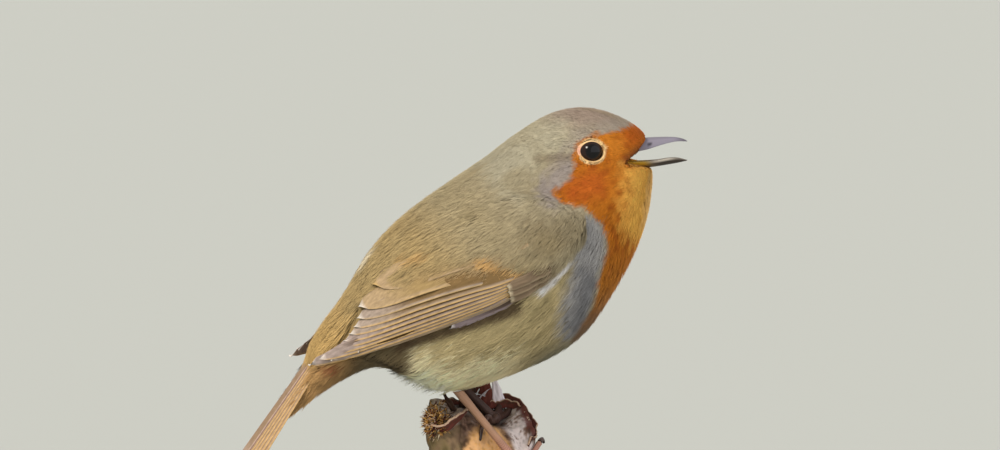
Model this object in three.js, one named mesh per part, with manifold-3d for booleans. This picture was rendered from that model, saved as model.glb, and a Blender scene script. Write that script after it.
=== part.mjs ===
// European robin (Erithacus rubecula): a still, life-size model of the bird calling from a broken
// branch stub, on a plain display stand.
// Millimetres, +Z up. The bird faces +X and its right side faces -Y. The origin is the middle of
// the stand's underside, which lies on the table.
import * as THREE from "three";
import { mergeVertices } from "three/addons/utils/BufferGeometryUtils.js";
import Module from "manifold-3d";

const wasm = await Module();
wasm.setup();

// ---- Driving dimensions ----

const GAP = 0.3; // air left between touching pieces
const PERCH_LEVEL = 54; // height of the bird's own zero, the middle of the perch, over the table

const stand = { radius: 45, thickness: 8, bevel: 1.2, rodRadius: 2.5 };

const perch = {
  rim: 12.4, // mean radius at the top
  foot: 9.8, // mean radius at the cut bottom
  bottom: -27,
  highTop: 9.6, // the back
  lowTop: -5.4, // the torn shoulder where the right foot stands, in front
  roundOver: 1.2,
  hollow: { x: 5, y: 4.4, depth: 4.2, inner: 2.5, outer: 8 }, // where the left foot stands
  wall: { rise: 3.0, from: 9.5, to: 12.2 }, // bark left standing round the far side
  knob: { angle: 180, bulge: 1.9, from: 0.66 }, // the spiky knob at the back
  lip: { angle: -38, bulge: 2.0, from: 0.35 }, // the shoulder's lip under the right foot
};

// Frames across head, body and tail coverts, from the bill root to the tail. Each joins a point
// of the upper outline to one of the lower outline, [x, z], with half widths above and below.
const bodyFrames = {
  billRoot: { top: [40.6, 75.4], bottom: [41.8, 67.6], upper: 3.4, lower: 3.8 },
  forehead: { top: [37.3, 78.4], bottom: [41.8, 63.6], upper: 6.6, lower: 7.0 },
  eye: { top: [31.4, 81.3], bottom: [41.2, 58.6], upper: 9.8, lower: 10.6 },
  crown: { top: [24.6, 82.6], bottom: [40.2, 54.0], upper: 11.2, lower: 13.4 },
  hindcrown: { top: [17.2, 81.2], bottom: [38.4, 48.6], upper: 11.8, lower: 16.6 },
  nape: { top: [9.6, 76.8], bottom: [35.6, 42.8], upper: 13.6, lower: 19.2 },
  shoulder: { top: [0.6, 70.1], bottom: [31.9, 36.8], upper: 17.6, lower: 21.6 },
  mantle: { top: [-8.8, 64.0], bottom: [26.8, 29.4], upper: 20.4, lower: 22.6 },
  back: { top: [-18.2, 57.4], bottom: [20.6, 23.8], upper: 21.0, lower: 22.4 },
  belly: { top: [-26.4, 49.2], bottom: [11.2, 19.4], upper: 19.8, lower: 21.0 },
  rump: { top: [-33.0, 38.7], bottom: [0.4, 15.6], upper: 17.0, lower: 18.2 },
  vent: { top: [-38.5, 31.1], bottom: [-10.4, 14.2], upper: 13.6, lower: 14.8 },
  coverts: { top: [-43.0, 24.2], bottom: [-23.4, 21.2], upper: 10.8, lower: 11.2 },
  tailRoot: { top: [-46.8, 18.4], bottom: [-35.6, 16.8], upper: 9.2, lower: 9.0 },
  covertTips: { top: [-49.6, 13.6], bottom: [-45.2, 10.4], upper: 7.6, lower: 7.4 },
};
const body = { rings: 32, sides: 24, fullness: 2.25, widest: 80 };
const speck = 1; // volume of the slivers that a cut leaves, which are dropped

// Thin cuts across the whole body, [x, z] to [x, z] in side view.
const cuts = {
  head: { from: [7, 80], to: [44, 55.5] },
  neck: { from: [-8, 76.8], to: [44, 41] },
  breast: { from: [-19, 64.2], to: [23, 17.8] },
  rump: { from: [-35, 42], to: [-9, 11] },
};

const headTurn = { degrees: 12, pivotX: 12, start: -5, full: 12 };

const eye = { x: 26.7, z: 72.4, radius: 3.1, sunk: 2.15 };

// Bill stations along x: upper and lower edge of each half, and half width.
const upperBill = [
  { x: 36.4, top: 74.4, bottom: 70.6, half: 2.7 },
  { x: 40.8, top: 75.1, bottom: 72.2, half: 2.3 },
  { x: 45.4, top: 75.2, bottom: 73.7, half: 1.35 },
  { x: 47.8, top: 75.0, bottom: 74.0, half: 0.8 },
  { x: 50.0, top: 74.4, bottom: 73.9, half: 0.3 },
];
const lowerBill = [
  { x: 34.6, top: 69.6, bottom: 68.0, half: 3.0 },
  { x: 39.2, top: 69.5, bottom: 67.9, half: 2.5 },
  { x: 42.8, top: 69.8, bottom: 68.2, half: 1.9 },
  { x: 45.6, top: 70.2, bottom: 68.5, half: 1.4 },
  { x: 47.8, top: 70.2, bottom: 68.9, half: 0.85 },
  { x: 50.0, top: 69.8, bottom: 69.3, half: 0.3 },
];
const gape = { corner: [33.8, 69.3], upperLip: [46, 73.9], lowerLip: [46, 70.0], half: 12 };

// The folded wing between its upper and lower edge, [x, z] from the bend to the tip, and the cuts
// that part its coverts, secondaries and primaries.
const wing = {
  upper: [[23.5, 57], [13, 62.4], [2, 62.4], [-7, 57.6], [-16, 51.2], [-26, 42.6], [-35, 33.4], [-43, 24]],
  lower: [[22.5, 52.4], [15, 44.5], [8.5, 41], [-1, 37], [-11, 33], [-23, 28.8], [-34, 24.9], [-43.5, 21]],
  covertCut: { from: [-9, 62], to: [2.5, 33] },
  flightCut: { from: [-1.4, 42.9], to: [-46, 22.9] },
  stations: 20,
  across: 5,
  thick: 2.2,
  tipThick: 1.2,
  rimThick: 0.6,
  clear: 0.7,
  tipHalf: 8.6,
  tipFlare: 0.1,
};

const tail = {
  root: [-37.4, 26.8],
  tip: [-62.8, -8.0],
  rootHalf: 6.2,
  tipHalf: 11.0,
  thick: 1.5,
  edgeThick: 0.6,
  drop: 1.1, // how far the edges hang under the middle
  stations: 6,
};

const thigh = { x: -8.8, y: 8.6, z: 24.4, radii: [9.8, 7.5, 9.3], tilt: 30 };
const tarsusRadius = { heel: 1.25, middle: 0.95, foot: 1.2 };
const footPad = 1.55;
const toeRadius = { base: 1.0, tip: 0.75 };
const clawLength = { front: 3.6, hind: 5.2 };

// Both legs: heel and foot [x, y, z], and the way the foot points in plan, in degrees.
const legs = {
  right: { heel: [-8.4, -7.2, 16.8], foot: [7.8, -7.2, -2.8], heading: 12 },
  left: { heel: [-13.2, 7.6, 24.9], foot: [4.8, 5.4, 6.9], heading: 62 },
};
const toes = {
  inner: { spread: 30, length: 9.5 },
  middle: { spread: 0, length: 12.5 },
  outer: { spread: -28, length: 10.0 },
  hind: { spread: 180, length: 9.0 },
};

// ---- Small helpers ----

const radians = THREE.MathUtils.degToRad;
const { lerp, smoothstep, clamp } = THREE.MathUtils;

function solidOf(geometry) {
  const bare = new THREE.BufferGeometry();
  bare.setAttribute("position", geometry.getAttribute("position"));
  bare.setIndex(geometry.index);
  const merged = mergeVertices(bare, 1e-3);
  return new wasm.Manifold(
    new wasm.Mesh({
      numProp: 3,
      vertProperties: merged.attributes.position.array,
      triVerts: new Uint32Array(merged.index.array),
    }),
  );
}

function geometryOf(solid) {
  const mesh = solid.getMesh();
  const geometry = new THREE.BufferGeometry();
  geometry.setAttribute("position", new THREE.BufferAttribute(mesh.vertProperties.slice(), 3));
  geometry.setIndex(new THREE.BufferAttribute(mesh.triVerts.slice(), 1));
  return geometry;
}

// The largest of the separate bodies that a cut leaves.
function largest(solid) {
  return solid.decompose().reduce((best, piece) => (piece.volume() > best.volume() ? piece : best));
}

// A closed skin over rings with the same number of points, each end closed by a fan.
function loft(rings) {
  const sides = rings[0].length;
  const middle = (ring) => ring.reduce((sum, p) => sum.add(p), new THREE.Vector3()).divideScalar(sides);
  const points = [...rings.flat(), middle(rings[0]), middle(rings.at(-1))];
  const first = points.length - 2;
  const last = points.length - 1;
  const end = (rings.length - 1) * sides;
  const index = [];
  for (let k = 0; k < sides; k++) {
    const next = (k + 1) % sides;
    for (let row = 0; row < end; row += sides) {
      index.push(row + k, row + next, row + sides + next);
      index.push(row + k, row + sides + next, row + sides + k);
    }
    index.push(first, next, k);
    index.push(last, end + k, end + next);
  }
  const geometry = new THREE.BufferGeometry().setFromPoints(points);
  geometry.setIndex(index);
  const solid = solidOf(geometry);
  return solid.volume() > 0 ? solid : solidOf(flipped(geometry));
}

function flipped(geometry) {
  const index = geometry.index.array.slice();
  for (let i = 0; i < index.length; i += 3) {
    [index[i + 1], index[i + 2]] = [index[i + 2], index[i + 1]];
  }
  const turned = geometry.clone();
  turned.setIndex(new THREE.BufferAttribute(index, 1));
  return turned;
}

// A round rod along a smooth curve through the points, its radius given by a function of 0 to 1.
function rod(points, radiusAt, steps, sides) {
  const curve = new THREE.CatmullRomCurve3(points);
  const { normals, binormals } = curve.computeFrenetFrames(steps, false);
  const rings = [];
  for (let i = 0; i <= steps; i++) {
    const centre = curve.getPointAt(i / steps);
    const radius = radiusAt(i / steps);
    const ring = [];
    for (let k = 0; k < sides; k++) {
      const angle = (2 * Math.PI * k) / sides;
      const out = normals[i].clone().multiplyScalar(radius * Math.cos(angle));
      ring.push(out.addScaledVector(binormals[i], radius * Math.sin(angle)).add(centre));
    }
    rings.push(ring);
  }
  return loft(rings);
}

function ellipsoid(centre, radii, tilt = 0, sides = 14) {
  const ball = new THREE.SphereGeometry(1, sides, Math.round(sides * 0.65));
  ball.scale(...radii);
  ball.rotateY(radians(tilt));
  ball.translate(...centre);
  return solidOf(ball);
}

// ---- Head turn: the head looks to the bird's right, and the neck follows part of the way ----

const neckLine = cuts.neck;

function aboveNeckLine(x, z) {
  const along = new THREE.Vector2(neckLine.to[0] - neckLine.from[0], neckLine.to[1] - neckLine.from[1]);
  along.normalize();
  return (z - neckLine.from[1]) * along.x - (x - neckLine.from[0]) * along.y;
}

function turned(solid) {
  return solid.warp((p) => {
    const share = smoothstep(aboveNeckLine(p[0], p[2]), headTurn.start, headTurn.full);
    const angle = -radians(headTurn.degrees) * share;
    const dx = p[0] - headTurn.pivotX;
    const dy = p[1];
    p[0] = headTurn.pivotX + dx * Math.cos(angle) - dy * Math.sin(angle);
    p[1] = dx * Math.sin(angle) + dy * Math.cos(angle);
  });
}

// ---- Body ----

const frames = Object.values(bodyFrames);
const sidePoint = ([x, z]) => new THREE.Vector3(x, 0, z);
const topCurve = new THREE.CatmullRomCurve3(frames.map((f) => sidePoint(f.top)));
const bottomCurve = new THREE.CatmullRomCurve3(frames.map((f) => sidePoint(f.bottom)));
const sideWidths = (frame) => new THREE.Vector3(frame.upper, frame.lower, 0);
const widthCurve = new THREE.CatmullRomCurve3(frames.map(sideWidths));

// Half width at a share of the way down a frame: 0 on the upper outline, 1 on the lower.
function halfWidth(t, down) {
  const width = widthCurve.getPoint(t);
  const fromMiddle = Math.abs(2 * down - 1) ** body.fullness;
  const round = Math.max(0, 1 - fromMiddle) ** (1 / body.fullness);
  return round * lerp(width.x, width.y, smoothstep(down, 0, 1));
}

function bodyRing(t, grow) {
  const top = topCurve.getPoint(t);
  const bottom = bottomCurve.getPoint(t);
  const out = bottom.clone().sub(top).setLength(grow);
  top.sub(out);
  bottom.add(out);
  const ring = [];
  for (let k = 0; k < body.sides; k++) {
    const angle = (2 * Math.PI * k) / body.sides;
    const down = (1 - Math.cos(angle)) / 2;
    const aside = 2 * k % body.sides === 0 ? 0 : Math.sin(angle);
    const point = top.clone().lerp(bottom, down);
    point.y = Math.sign(aside) * halfWidth(t, down) + grow * aside;
    ring.push(point);
  }
  return ring;
}

function wholeBody(grow = 0) {
  const rings = [];
  for (let i = 0; i <= body.rings; i++) rings.push(bodyRing(i / body.rings, grow));
  return loft(rings);
}

// How far the body reaches to the side at a point of the side view.
function flank(x, z) {
  const point = new THREE.Vector3(x, 0, z);
  const halvings = 30;
  let low = 0;
  let high = 1;
  for (let i = 0; i < halvings; i++) {
    const t = (low + high) / 2;
    const top = topCurve.getPoint(t);
    const across = bottomCurve.getPoint(t).sub(top);
    const reach = point.clone().sub(top);
    if (across.x * reach.z - across.z * reach.x > 0) high = t;
    else low = t;
  }
  const top = topCurve.getPoint(low);
  const across = bottomCurve.getPoint(low).sub(top);
  const down = point.sub(top).dot(across) / across.lengthSq();
  return halfWidth(low, clamp(down, 0, 1));
}

// A plate as thick as the gap, standing across the body along a cut line.
function cutPlate({ from, to }) {
  const length = Math.hypot(to[0] - from[0], to[1] - from[1]);
  const plate = new THREE.BoxGeometry(length, body.widest, GAP);
  plate.rotateY(-Math.atan2(to[1] - from[1], to[0] - from[0]));
  plate.translate((from[0] + to[0]) / 2, 0, (from[1] + to[1]) / 2);
  return solidOf(plate);
}

// The body's lengths in order from the bill to the tail.
function partedBody(whole) {
  const parted = Object.values(cuts).reduce((left, cut) => left.subtract(cutPlate(cut)), whole);
  const middleX = (piece) => (piece.boundingBox().min[0] + piece.boundingBox().max[0]) / 2;
  const pieces = parted.decompose().filter((piece) => piece.volume() > speck);
  pieces.sort((a, b) => middleX(b) - middleX(a));
  return pieces;
}

// ---- Bill, mouth and eyes ----

function billHalf(stations, grow = 0) {
  const edges = stations.map((s) => new THREE.Vector3(s.x, s.top, s.bottom));
  const halves = stations.map((s) => new THREE.Vector3(s.half, 0, 0));
  const curve = new THREE.CatmullRomCurve3(edges);
  const widths = new THREE.CatmullRomCurve3(halves);
  const steps = 7;
  const sides = 10;
  const rings = [];
  for (let i = 0; i <= steps; i++) {
    const at = curve.getPoint(i / steps);
    const half = widths.getPoint(i / steps).x + grow;
    const ring = [];
    for (let k = 0; k < sides; k++) {
      const angle = (2 * Math.PI * k) / sides;
      const z = (at.y + at.z) / 2 + ((at.y - at.z) / 2 + grow) * Math.cos(angle);
      ring.push(new THREE.Vector3(at.x, half * Math.sin(angle), z));
    }
    rings.push(ring);
  }
  return loft(rings);
}

// The open mouth: a wedge from the corner of the gape, out between the two lips.
function mouthWedge() {
  const corners = [gape.corner, gape.lowerLip, gape.upperLip];
  const sideRing = (y) => corners.map(([x, z]) => new THREE.Vector3(x, y, z));
  return loft([sideRing(-gape.half), sideRing(gape.half)]);
}

function eyeBall(side, grow = 0) {
  const reach = flank(eye.x, eye.z) - eye.sunk;
  const radius = eye.radius + grow;
  return ellipsoid([eye.x, side * reach, eye.z], [radius, radius, radius]);
}

// ---- Wings: a shell laid over the flank, parted into coverts, secondaries and primaries ----

function wingHeight(x, z) {
  const tipX = wing.lower.at(-1)[0];
  return Math.max(flank(x, z), wing.tipHalf + wing.tipFlare * (x - tipX)) + wing.clear;
}

function wingSection(high, low, t, side) {
  const outer = [];
  const inner = [];
  const full = lerp(wing.thick, wing.tipThick, smoothstep(t, 0.4, 1));
  for (let i = 0; i <= wing.across; i++) {
    const share = i / wing.across;
    const at = high.clone().lerp(low, share);
    const base = wingHeight(at.x, at.z);
    const arch = Math.sqrt(Math.sin(Math.PI * share)) * smoothstep(t, -0.02, 0.12);
    const thick = lerp(wing.rimThick, full, arch);
    outer.push(new THREE.Vector3(at.x, side * (base + thick), at.z));
    inner.unshift(new THREE.Vector3(at.x, side * base, at.z));
  }
  return [...outer, ...inner];
}

function wholeWing(side) {
  const upper = new THREE.CatmullRomCurve3(wing.upper.map(sidePoint));
  const lower = new THREE.CatmullRomCurve3(wing.lower.map(sidePoint));
  const rings = [];
  for (let i = 0; i <= wing.stations; i++) {
    const t = i / wing.stations;
    rings.push(wingSection(upper.getPoint(t), lower.getPoint(t), t, side));
  }
  return loft(rings);
}

function partedWing(side) {
  const twoCuts = cutPlate(wing.covertCut).add(cutPlate(wing.flightCut));
  const parted = wholeWing(side).subtract(twoCuts);
  const pieces = parted.decompose().filter((piece) => piece.volume() > speck);
  const frontFirst = (a, b) => b.boundingBox().max[0] - a.boundingBox().max[0];
  const [coverts, ...flight] = pieces.sort(frontFirst);
  const [secondaries, primaries] = flight.sort((a, b) => b.boundingBox().max[2] - a.boundingBox().max[2]);
  return { coverts, secondaries, primaries };
}

// ---- Tail: the folded stack of feathers, a shallow roof in section ----

function tailSolid(grow = 0) {
  const root = sidePoint(tail.root);
  const tip = sidePoint(tail.tip);
  const along = tip.clone().sub(root).normalize();
  const up = new THREE.Vector3(along.z, 0, -along.x);
  const shares = [-1, -0.6, 0, 0.6, 1];
  const rings = [];
  for (let i = 0; i <= tail.stations; i++) {
    const t = i / tail.stations;
    const half = lerp(tail.rootHalf, tail.tipHalf, Math.sqrt(t)) + grow;
    const upperSide = [];
    const lowerSide = [];
    for (const share of shares) {
      const roundTip = t > 0.99 ? 1.6 * share ** 4 : 0;
      const at = root.clone().lerp(tip, t).addScaledVector(along, -roundTip);
      at.addScaledVector(up, -tail.drop * share * share);
      at.y = half * share;
      const thick = lerp(tail.thick, tail.edgeThick, Math.abs(share)) / 2 + grow;
      upperSide.push(at.clone().addScaledVector(up, thick));
      lowerSide.unshift(at.clone().addScaledVector(up, -thick));
    }
    rings.push([...upperSide, ...lowerSide]);
  }
  return loft(rings);
}

// ---- Perch: a gnarled stub, high at the back and torn down to a shoulder in front ----

function perchRadius(angle, rise) {
  const ripple = 0.05 * Math.sin(3 * angle + 0.8) + 0.035 * Math.sin(5 * angle + 3 * rise);
  const swell = [perch.knob, perch.lip].reduce((sum, lump) => {
    const near = Math.exp(5 * (Math.cos(angle - radians(lump.angle)) - 1));
    return sum + lump.bulge * near * smoothstep(rise, lump.from, 0.9);
  }, 0);
  return lerp(perch.foot, perch.rim, smoothstep(rise, 0, 0.75)) * (1 + ripple) + swell;
}

function perchTop(x, y) {
  const { hollow, wall } = perch;
  const toShoulder = 0.3 * x - 0.95 * y;
  const torn = lerp(perch.highTop, perch.lowTop, smoothstep(toShoulder, -1, 11));
  const fromHollow = Math.hypot(x - hollow.x, y - hollow.y);
  const dip = hollow.depth * (1 - smoothstep(fromHollow, hollow.inner, hollow.outer));
  const rim = wall.rise * smoothstep(Math.hypot(x, y), wall.from, wall.to) * smoothstep(y + 0.3 * x, 0, 6);
  const grain = 0.45 * Math.sin(0.9 * x + 0.5 * y) * Math.cos(0.7 * y);
  return torn - dip + rim + grain;
}

function perchRing(rise, shrink) {
  const sides = 18;
  const ring = [];
  for (let k = 0; k < sides; k++) {
    const angle = (2 * Math.PI * k) / sides;
    const radius = perchRadius(angle, rise) * shrink;
    const x = radius * Math.cos(angle);
    const y = radius * Math.sin(angle);
    const top = perchTop(x, y) - perch.roundOver * shrink ** 5;
    ring.push(new THREE.Vector3(x, y, lerp(perch.bottom, top, rise)));
  }
  return ring;
}

function perchSolid() {
  const rings = [0, 0.3, 0.55, 0.75, 0.9, 1].map((rise) => perchRing(rise, 1));
  [0.84, 0.56, 0.28].forEach((shrink) => rings.push(perchRing(1, shrink)));
  return loft(rings);
}

// A point on the perch at a place in plan: on the top, or past the rim as far down the side.
function onPerch(x, y, clearance) {
  const angle = Math.atan2(y, x);
  const rim = perchRadius(angle, 1) * 0.95;
  const reach = Math.hypot(x, y);
  const over = Math.max(0, reach - rim);
  const rimTop = perchTop(rim * Math.cos(angle), rim * Math.sin(angle));
  const rise = clamp((rimTop - over - perch.bottom) / (rimTop - perch.bottom), 0, 1);
  const side = perchRadius(angle, rise) + clearance;
  const kept = over > 0 ? lerp(rim, side, smoothstep(over, 0, 2)) : reach;
  const at = new THREE.Vector3(kept * Math.cos(angle), kept * Math.sin(angle), 0);
  const edge = Math.min(1, reach / (rim / 0.95));
  at.z = perchTop(at.x, at.y) - perch.roundOver * edge ** 5 + clearance - over;
  return at;
}

// ---- Legs, feet and claws ----

function toePath(leg, toe) {
  const heading = radians(leg.heading + toe.spread);
  const points = [new THREE.Vector3(...leg.foot)];
  for (const share of [0.35, 0.7, 1]) {
    const x = leg.foot[0] + toe.length * share * Math.cos(heading);
    const y = leg.foot[1] + toe.length * share * Math.sin(heading);
    points.push(onPerch(x, y, lerp(toeRadius.base, toeRadius.tip, share) * 0.8));
  }
  return points;
}

function toeSolid(leg, toe, grow = 0) {
  const knuckle = (t) => 0.1 * Math.cos(6 * Math.PI * t);
  const radiusAt = (t) => lerp(toeRadius.base, toeRadius.tip, t) + knuckle(t) + grow;
  return rod(toePath(leg, toe), radiusAt, 5, 6);
}

function clawSolid(leg, toe, length, grow = 0) {
  const path = toePath(leg, toe);
  const tip = path.at(-1);
  const ahead = tip.clone().sub(path.at(-2)).normalize();
  const start = tip.clone().addScaledVector(ahead, GAP);
  const middle = start.clone().addScaledVector(ahead, length * 0.45);
  middle.z -= length * 0.08;
  const end = start.clone().addScaledVector(ahead, length * 0.72);
  end.z -= length * 0.5;
  const radiusAt = (t) => lerp(toeRadius.tip - 0.05, 0.28, t) + grow;
  return rod([start, middle, end], radiusAt, 4, 5);
}

function footSolid(leg, grow = 0) {
  const pad = ellipsoid(leg.foot, [footPad + grow, footPad + grow, footPad + grow], 0, 10);
  return Object.values(toes).reduce((sum, toe) => sum.add(toeSolid(leg, toe, grow)), pad);
}

function tarsusSolid(leg) {
  const heel = new THREE.Vector3(...leg.heel);
  const foot = new THREE.Vector3(...leg.foot);
  const back = heel.clone().sub(foot).normalize();
  const end = foot.addScaledVector(back, footPad * 0.5);
  const { heel: top, middle, foot: low } = tarsusRadius;
  const radiusAt = (t) => {
    const belowHeel = lerp(top, middle, smoothstep(t, 0, 0.4));
    return lerp(belowHeel, low, smoothstep(t, 0.75, 1));
  };
  return rod([heel, heel.clone().lerp(end, 0.5), end], radiusAt, 6, 8);
}

function thighSolid(side, grow = 0) {
  const radii = thigh.radii.map((radius) => radius + grow);
  return ellipsoid([thigh.x, side * thigh.y, thigh.z], radii, thigh.tilt);
}

// ---- Stand ----

function standBase() {
  const { radius, thickness, bevel } = stand;
  const profile = [
    [0, 0],
    [radius, 0],
    [radius, thickness - bevel],
    [radius - bevel, thickness],
    [0, thickness],
  ].map(([r, z]) => new THREE.Vector2(r, z));
  const disc = new THREE.LatheGeometry(profile, 40);
  disc.rotateX(Math.PI / 2);
  return solidOf(disc);
}

function standRod() {
  const low = stand.thickness + GAP;
  const high = PERCH_LEVEL + perch.bottom - GAP;
  const post = new THREE.CylinderGeometry(stand.rodRadius, stand.rodRadius, high - low, 24);
  post.rotateX(Math.PI / 2);
  post.translate(0, 0, (low + high) / 2);
  return solidOf(post);
}

// ---- Assembly ----

const paint = (color, roughness, metalness = 0) =>
  new THREE.MeshStandardMaterial({ color, roughness, metalness });

const finish = {
  oliveBrown: paint("#8a7758", 0.9),
  orange: paint("#c8641c", 0.9),
  paleBelly: paint("#b5a17a", 0.9),
  rustBrown: paint("#8c6a42", 0.9),
  wingBrown: paint("#80694a", 0.85),
  tailBrown: paint("#96683c", 0.85),
  eye: paint("#120c0a", 0.05),
  hornUpper: paint("#7d7587", 0.45),
  hornLower: paint("#3d3230", 0.45),
  leg: paint("#8e6552", 0.55),
  claw: paint("#33241f", 0.4),
  bark: paint("#7a5f46", 0.95),
  wood: paint("#3b2a20", 0.45),
  steel: paint("#c4c6c8", 0.3, 1),
};

const root = new THREE.Group();
const bird = new THREE.Group();
bird.position.z = PERCH_LEVEL;
root.add(bird);

function place(group, name, solid, material) {
  const mesh = new THREE.Mesh(geometryOf(largest(solid)), material);
  mesh.geometry.computeVertexNormals();
  mesh.name = name;
  group.add(mesh);
}

function addBody() {
  const hollows = [
    billHalf(upperBill, GAP),
    billHalf(lowerBill, GAP),
    mouthWedge(),
    eyeBall(-1, GAP),
    eyeBall(1, GAP),
    tailSolid(GAP),
  ];
  const whole = hollows.reduce((left, hollow) => left.subtract(hollow), wholeBody());
  const [head, neck, breast, belly, rump] = partedBody(whole);
  place(bird, "head", turned(head), finish.orange);
  place(bird, "neck", turned(neck), finish.orange);
  place(bird, "breast", turned(breast), finish.oliveBrown);
  place(bird, "belly", turned(belly), finish.paleBelly);
  place(bird, "rump", rump, finish.rustBrown);
  place(bird, "tail", tailSolid(), finish.tailBrown);
}

function addFace() {
  place(bird, "bill_upper", turned(billHalf(upperBill)), finish.hornUpper);
  place(bird, "bill_lower", turned(billHalf(lowerBill)), finish.hornLower);
  place(bird, "eye_right", turned(eyeBall(-1)), finish.eye);
  place(bird, "eye_left", turned(eyeBall(1)), finish.eye);
}

function addWing(name, side) {
  for (const [partName, part] of Object.entries(partedWing(side))) {
    place(bird, `wing_${partName}_${name}`, turned(part), finish.wingBrown);
  }
}

function addLeg(name, side, bodyClearance) {
  const leg = legs[name];
  const foot = footSolid(leg);
  const shank = tarsusSolid(leg).subtract(bodyClearance).subtract(thighSolid(side, GAP));
  const shankClear = shank.subtract(ellipsoid(leg.foot, [footPad + GAP, footPad + GAP, footPad + GAP]));
  place(bird, `thigh_${name}`, thighSolid(side).subtract(bodyClearance), finish.paleBelly);
  place(bird, `tarsus_${name}`, shankClear.subtract(footSolid(leg, GAP)), finish.leg);
  place(bird, `foot_${name}`, foot, finish.leg);
  for (const [toeName, toe] of Object.entries(toes)) {
    const length = toeName === "hind" ? clawLength.hind : clawLength.front;
    place(bird, `claw_${toeName}_${name}`, clawSolid(leg, toe, length), finish.claw);
  }
}

function gripHollows(leg) {
  const claws = Object.entries(toes).map(([toeName, toe]) =>
    clawSolid(leg, toe, toeName === "hind" ? clawLength.hind : clawLength.front, GAP),
  );
  return claws.reduce((sum, claw) => sum.add(claw), footSolid(leg, GAP));
}

function addPerch() {
  const grips = Object.values(legs).map(gripHollows);
  const stub = grips.reduce((left, grip) => left.subtract(grip), perchSolid());
  place(bird, "perch", stub, finish.bark);
}

addBody();
addFace();
addWing("right", -1);
addWing("left", 1);
const bodyClearance = wholeBody(GAP);
addLeg("right", -1, bodyClearance);
addLeg("left", 1, bodyClearance);
addPerch();
place(root, "stand_base", standBase(), finish.wood);
place(root, "stand_rod", standRod(), finish.steel);

export default root;
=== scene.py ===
# %% [markdown]
# # A European robin on a branch stub
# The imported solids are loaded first. They hold every size and place, so each piece below is
# built in the same frame, in metres, and nothing is fitted by eye afterwards.

# %% Load the frame
import math

import bpy
import numpy as np
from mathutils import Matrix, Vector
from mathutils.bvhtree import BVHTree


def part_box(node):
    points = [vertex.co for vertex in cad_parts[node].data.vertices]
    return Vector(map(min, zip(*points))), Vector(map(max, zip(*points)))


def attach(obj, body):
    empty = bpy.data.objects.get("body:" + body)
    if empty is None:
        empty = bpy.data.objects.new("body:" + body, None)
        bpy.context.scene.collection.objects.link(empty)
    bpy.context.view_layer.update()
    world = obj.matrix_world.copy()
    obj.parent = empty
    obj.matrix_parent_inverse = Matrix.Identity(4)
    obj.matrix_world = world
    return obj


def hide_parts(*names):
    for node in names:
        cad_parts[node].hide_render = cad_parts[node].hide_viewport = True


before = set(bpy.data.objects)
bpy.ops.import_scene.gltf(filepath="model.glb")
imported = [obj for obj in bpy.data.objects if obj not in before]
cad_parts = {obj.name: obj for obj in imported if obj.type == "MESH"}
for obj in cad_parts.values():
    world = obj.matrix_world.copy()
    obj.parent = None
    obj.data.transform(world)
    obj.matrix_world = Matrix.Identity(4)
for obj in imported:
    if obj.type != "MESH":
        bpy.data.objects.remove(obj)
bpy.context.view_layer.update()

MM = 0.001
PERCH_DEPTH = 27 * MM  # how far the perch reaches under the bird's own zero
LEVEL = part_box("perch")[0].z + PERCH_DEPTH
print("nodes:", len(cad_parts), "bird's zero at", round(LEVEL / MM, 2), "mm")

# %% [markdown]
# The camera looks at the bird's right side, from a little behind and a little above. It stands
# 2.5 m away with a long lens, like a birdwatcher's telescope, so the perspective is nearly flat.

# %% Camera
CAMERA_TURN = math.radians(-12)
CAMERA_RISE = math.radians(5)
CAMERA_DISTANCE = 2.5
SENSOR = 36.0
CLIP_END = 100
VIEW_WIDTH = 0.240  # metres of the bird's plane that the view spans
LOOK_AT = Vector((0.0049, 0, LEVEL + 54.1 * MM))


def direction(turn, rise):
    flat = math.cos(rise)
    return Vector((math.sin(turn) * flat, -math.cos(turn) * flat, math.sin(rise)))


def aim(thing, place, target):
    thing.location = place
    thing.rotation_euler = (target - place).to_track_quat("-Z", "Y").to_euler()


bpy.ops.object.select_all(action="DESELECT")
bpy.ops.object.camera_add()
camera = bpy.context.object
camera.name = "camera"
camera.data.sensor_width = SENSOR
camera.data.lens = SENSOR * CAMERA_DISTANCE / VIEW_WIDTH
camera.data.clip_end = CLIP_END
aim(camera, LOOK_AT + CAMERA_DISTANCE * direction(CAMERA_TURN, CAMERA_RISE), LOOK_AT)
bpy.context.scene.camera = camera
print("lens", camera.data.lens, "mm")

# %% [markdown]
# A plain pale floor and soft light. A broad sun stands high on the left, where the bird's back
# and the side of its breast turn towards it. A weak second one on the right opens the shadows,
# and a pale world fills in all round, as a light tent does. Suns light the floor evenly, so it
# stays one plain tone.

# %% Floor and light
FLOOR_SIDE, FLOOR_LEVELS, FLOOR_ROUGHNESS = 30.0, (188, 190, 185), 0.9
SUNS = (
    dict(name="key_sun", turn=-60, rise=41, softness=16, strength=2.25, tint=(255, 248, 236)),
    dict(name="fill_sun", turn=36, rise=12, softness=90, strength=1.2, tint=(246, 246, 255)),
)
TENT_COLOUR, TENT_STRENGTH = (232, 233, 229), 0.76


def srgb(*levels):
    """A colour given in 0 to 255 screen levels, as linear light."""
    share = np.array(levels, float) / 255
    return np.where(share <= 0.04045, share / 12.92, ((share + 0.055) / 1.055) ** 2.4)


def rgba(colour):
    return (*[float(c) for c in colour], 1.0)


def plain_material(name, colour, roughness):
    material = bpy.data.materials.new(name)
    material.use_nodes = True
    shader = material.node_tree.nodes["Principled BSDF"]
    shader.inputs["Base Color"].default_value = rgba(colour)
    shader.inputs["Roughness"].default_value = roughness
    return material


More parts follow.
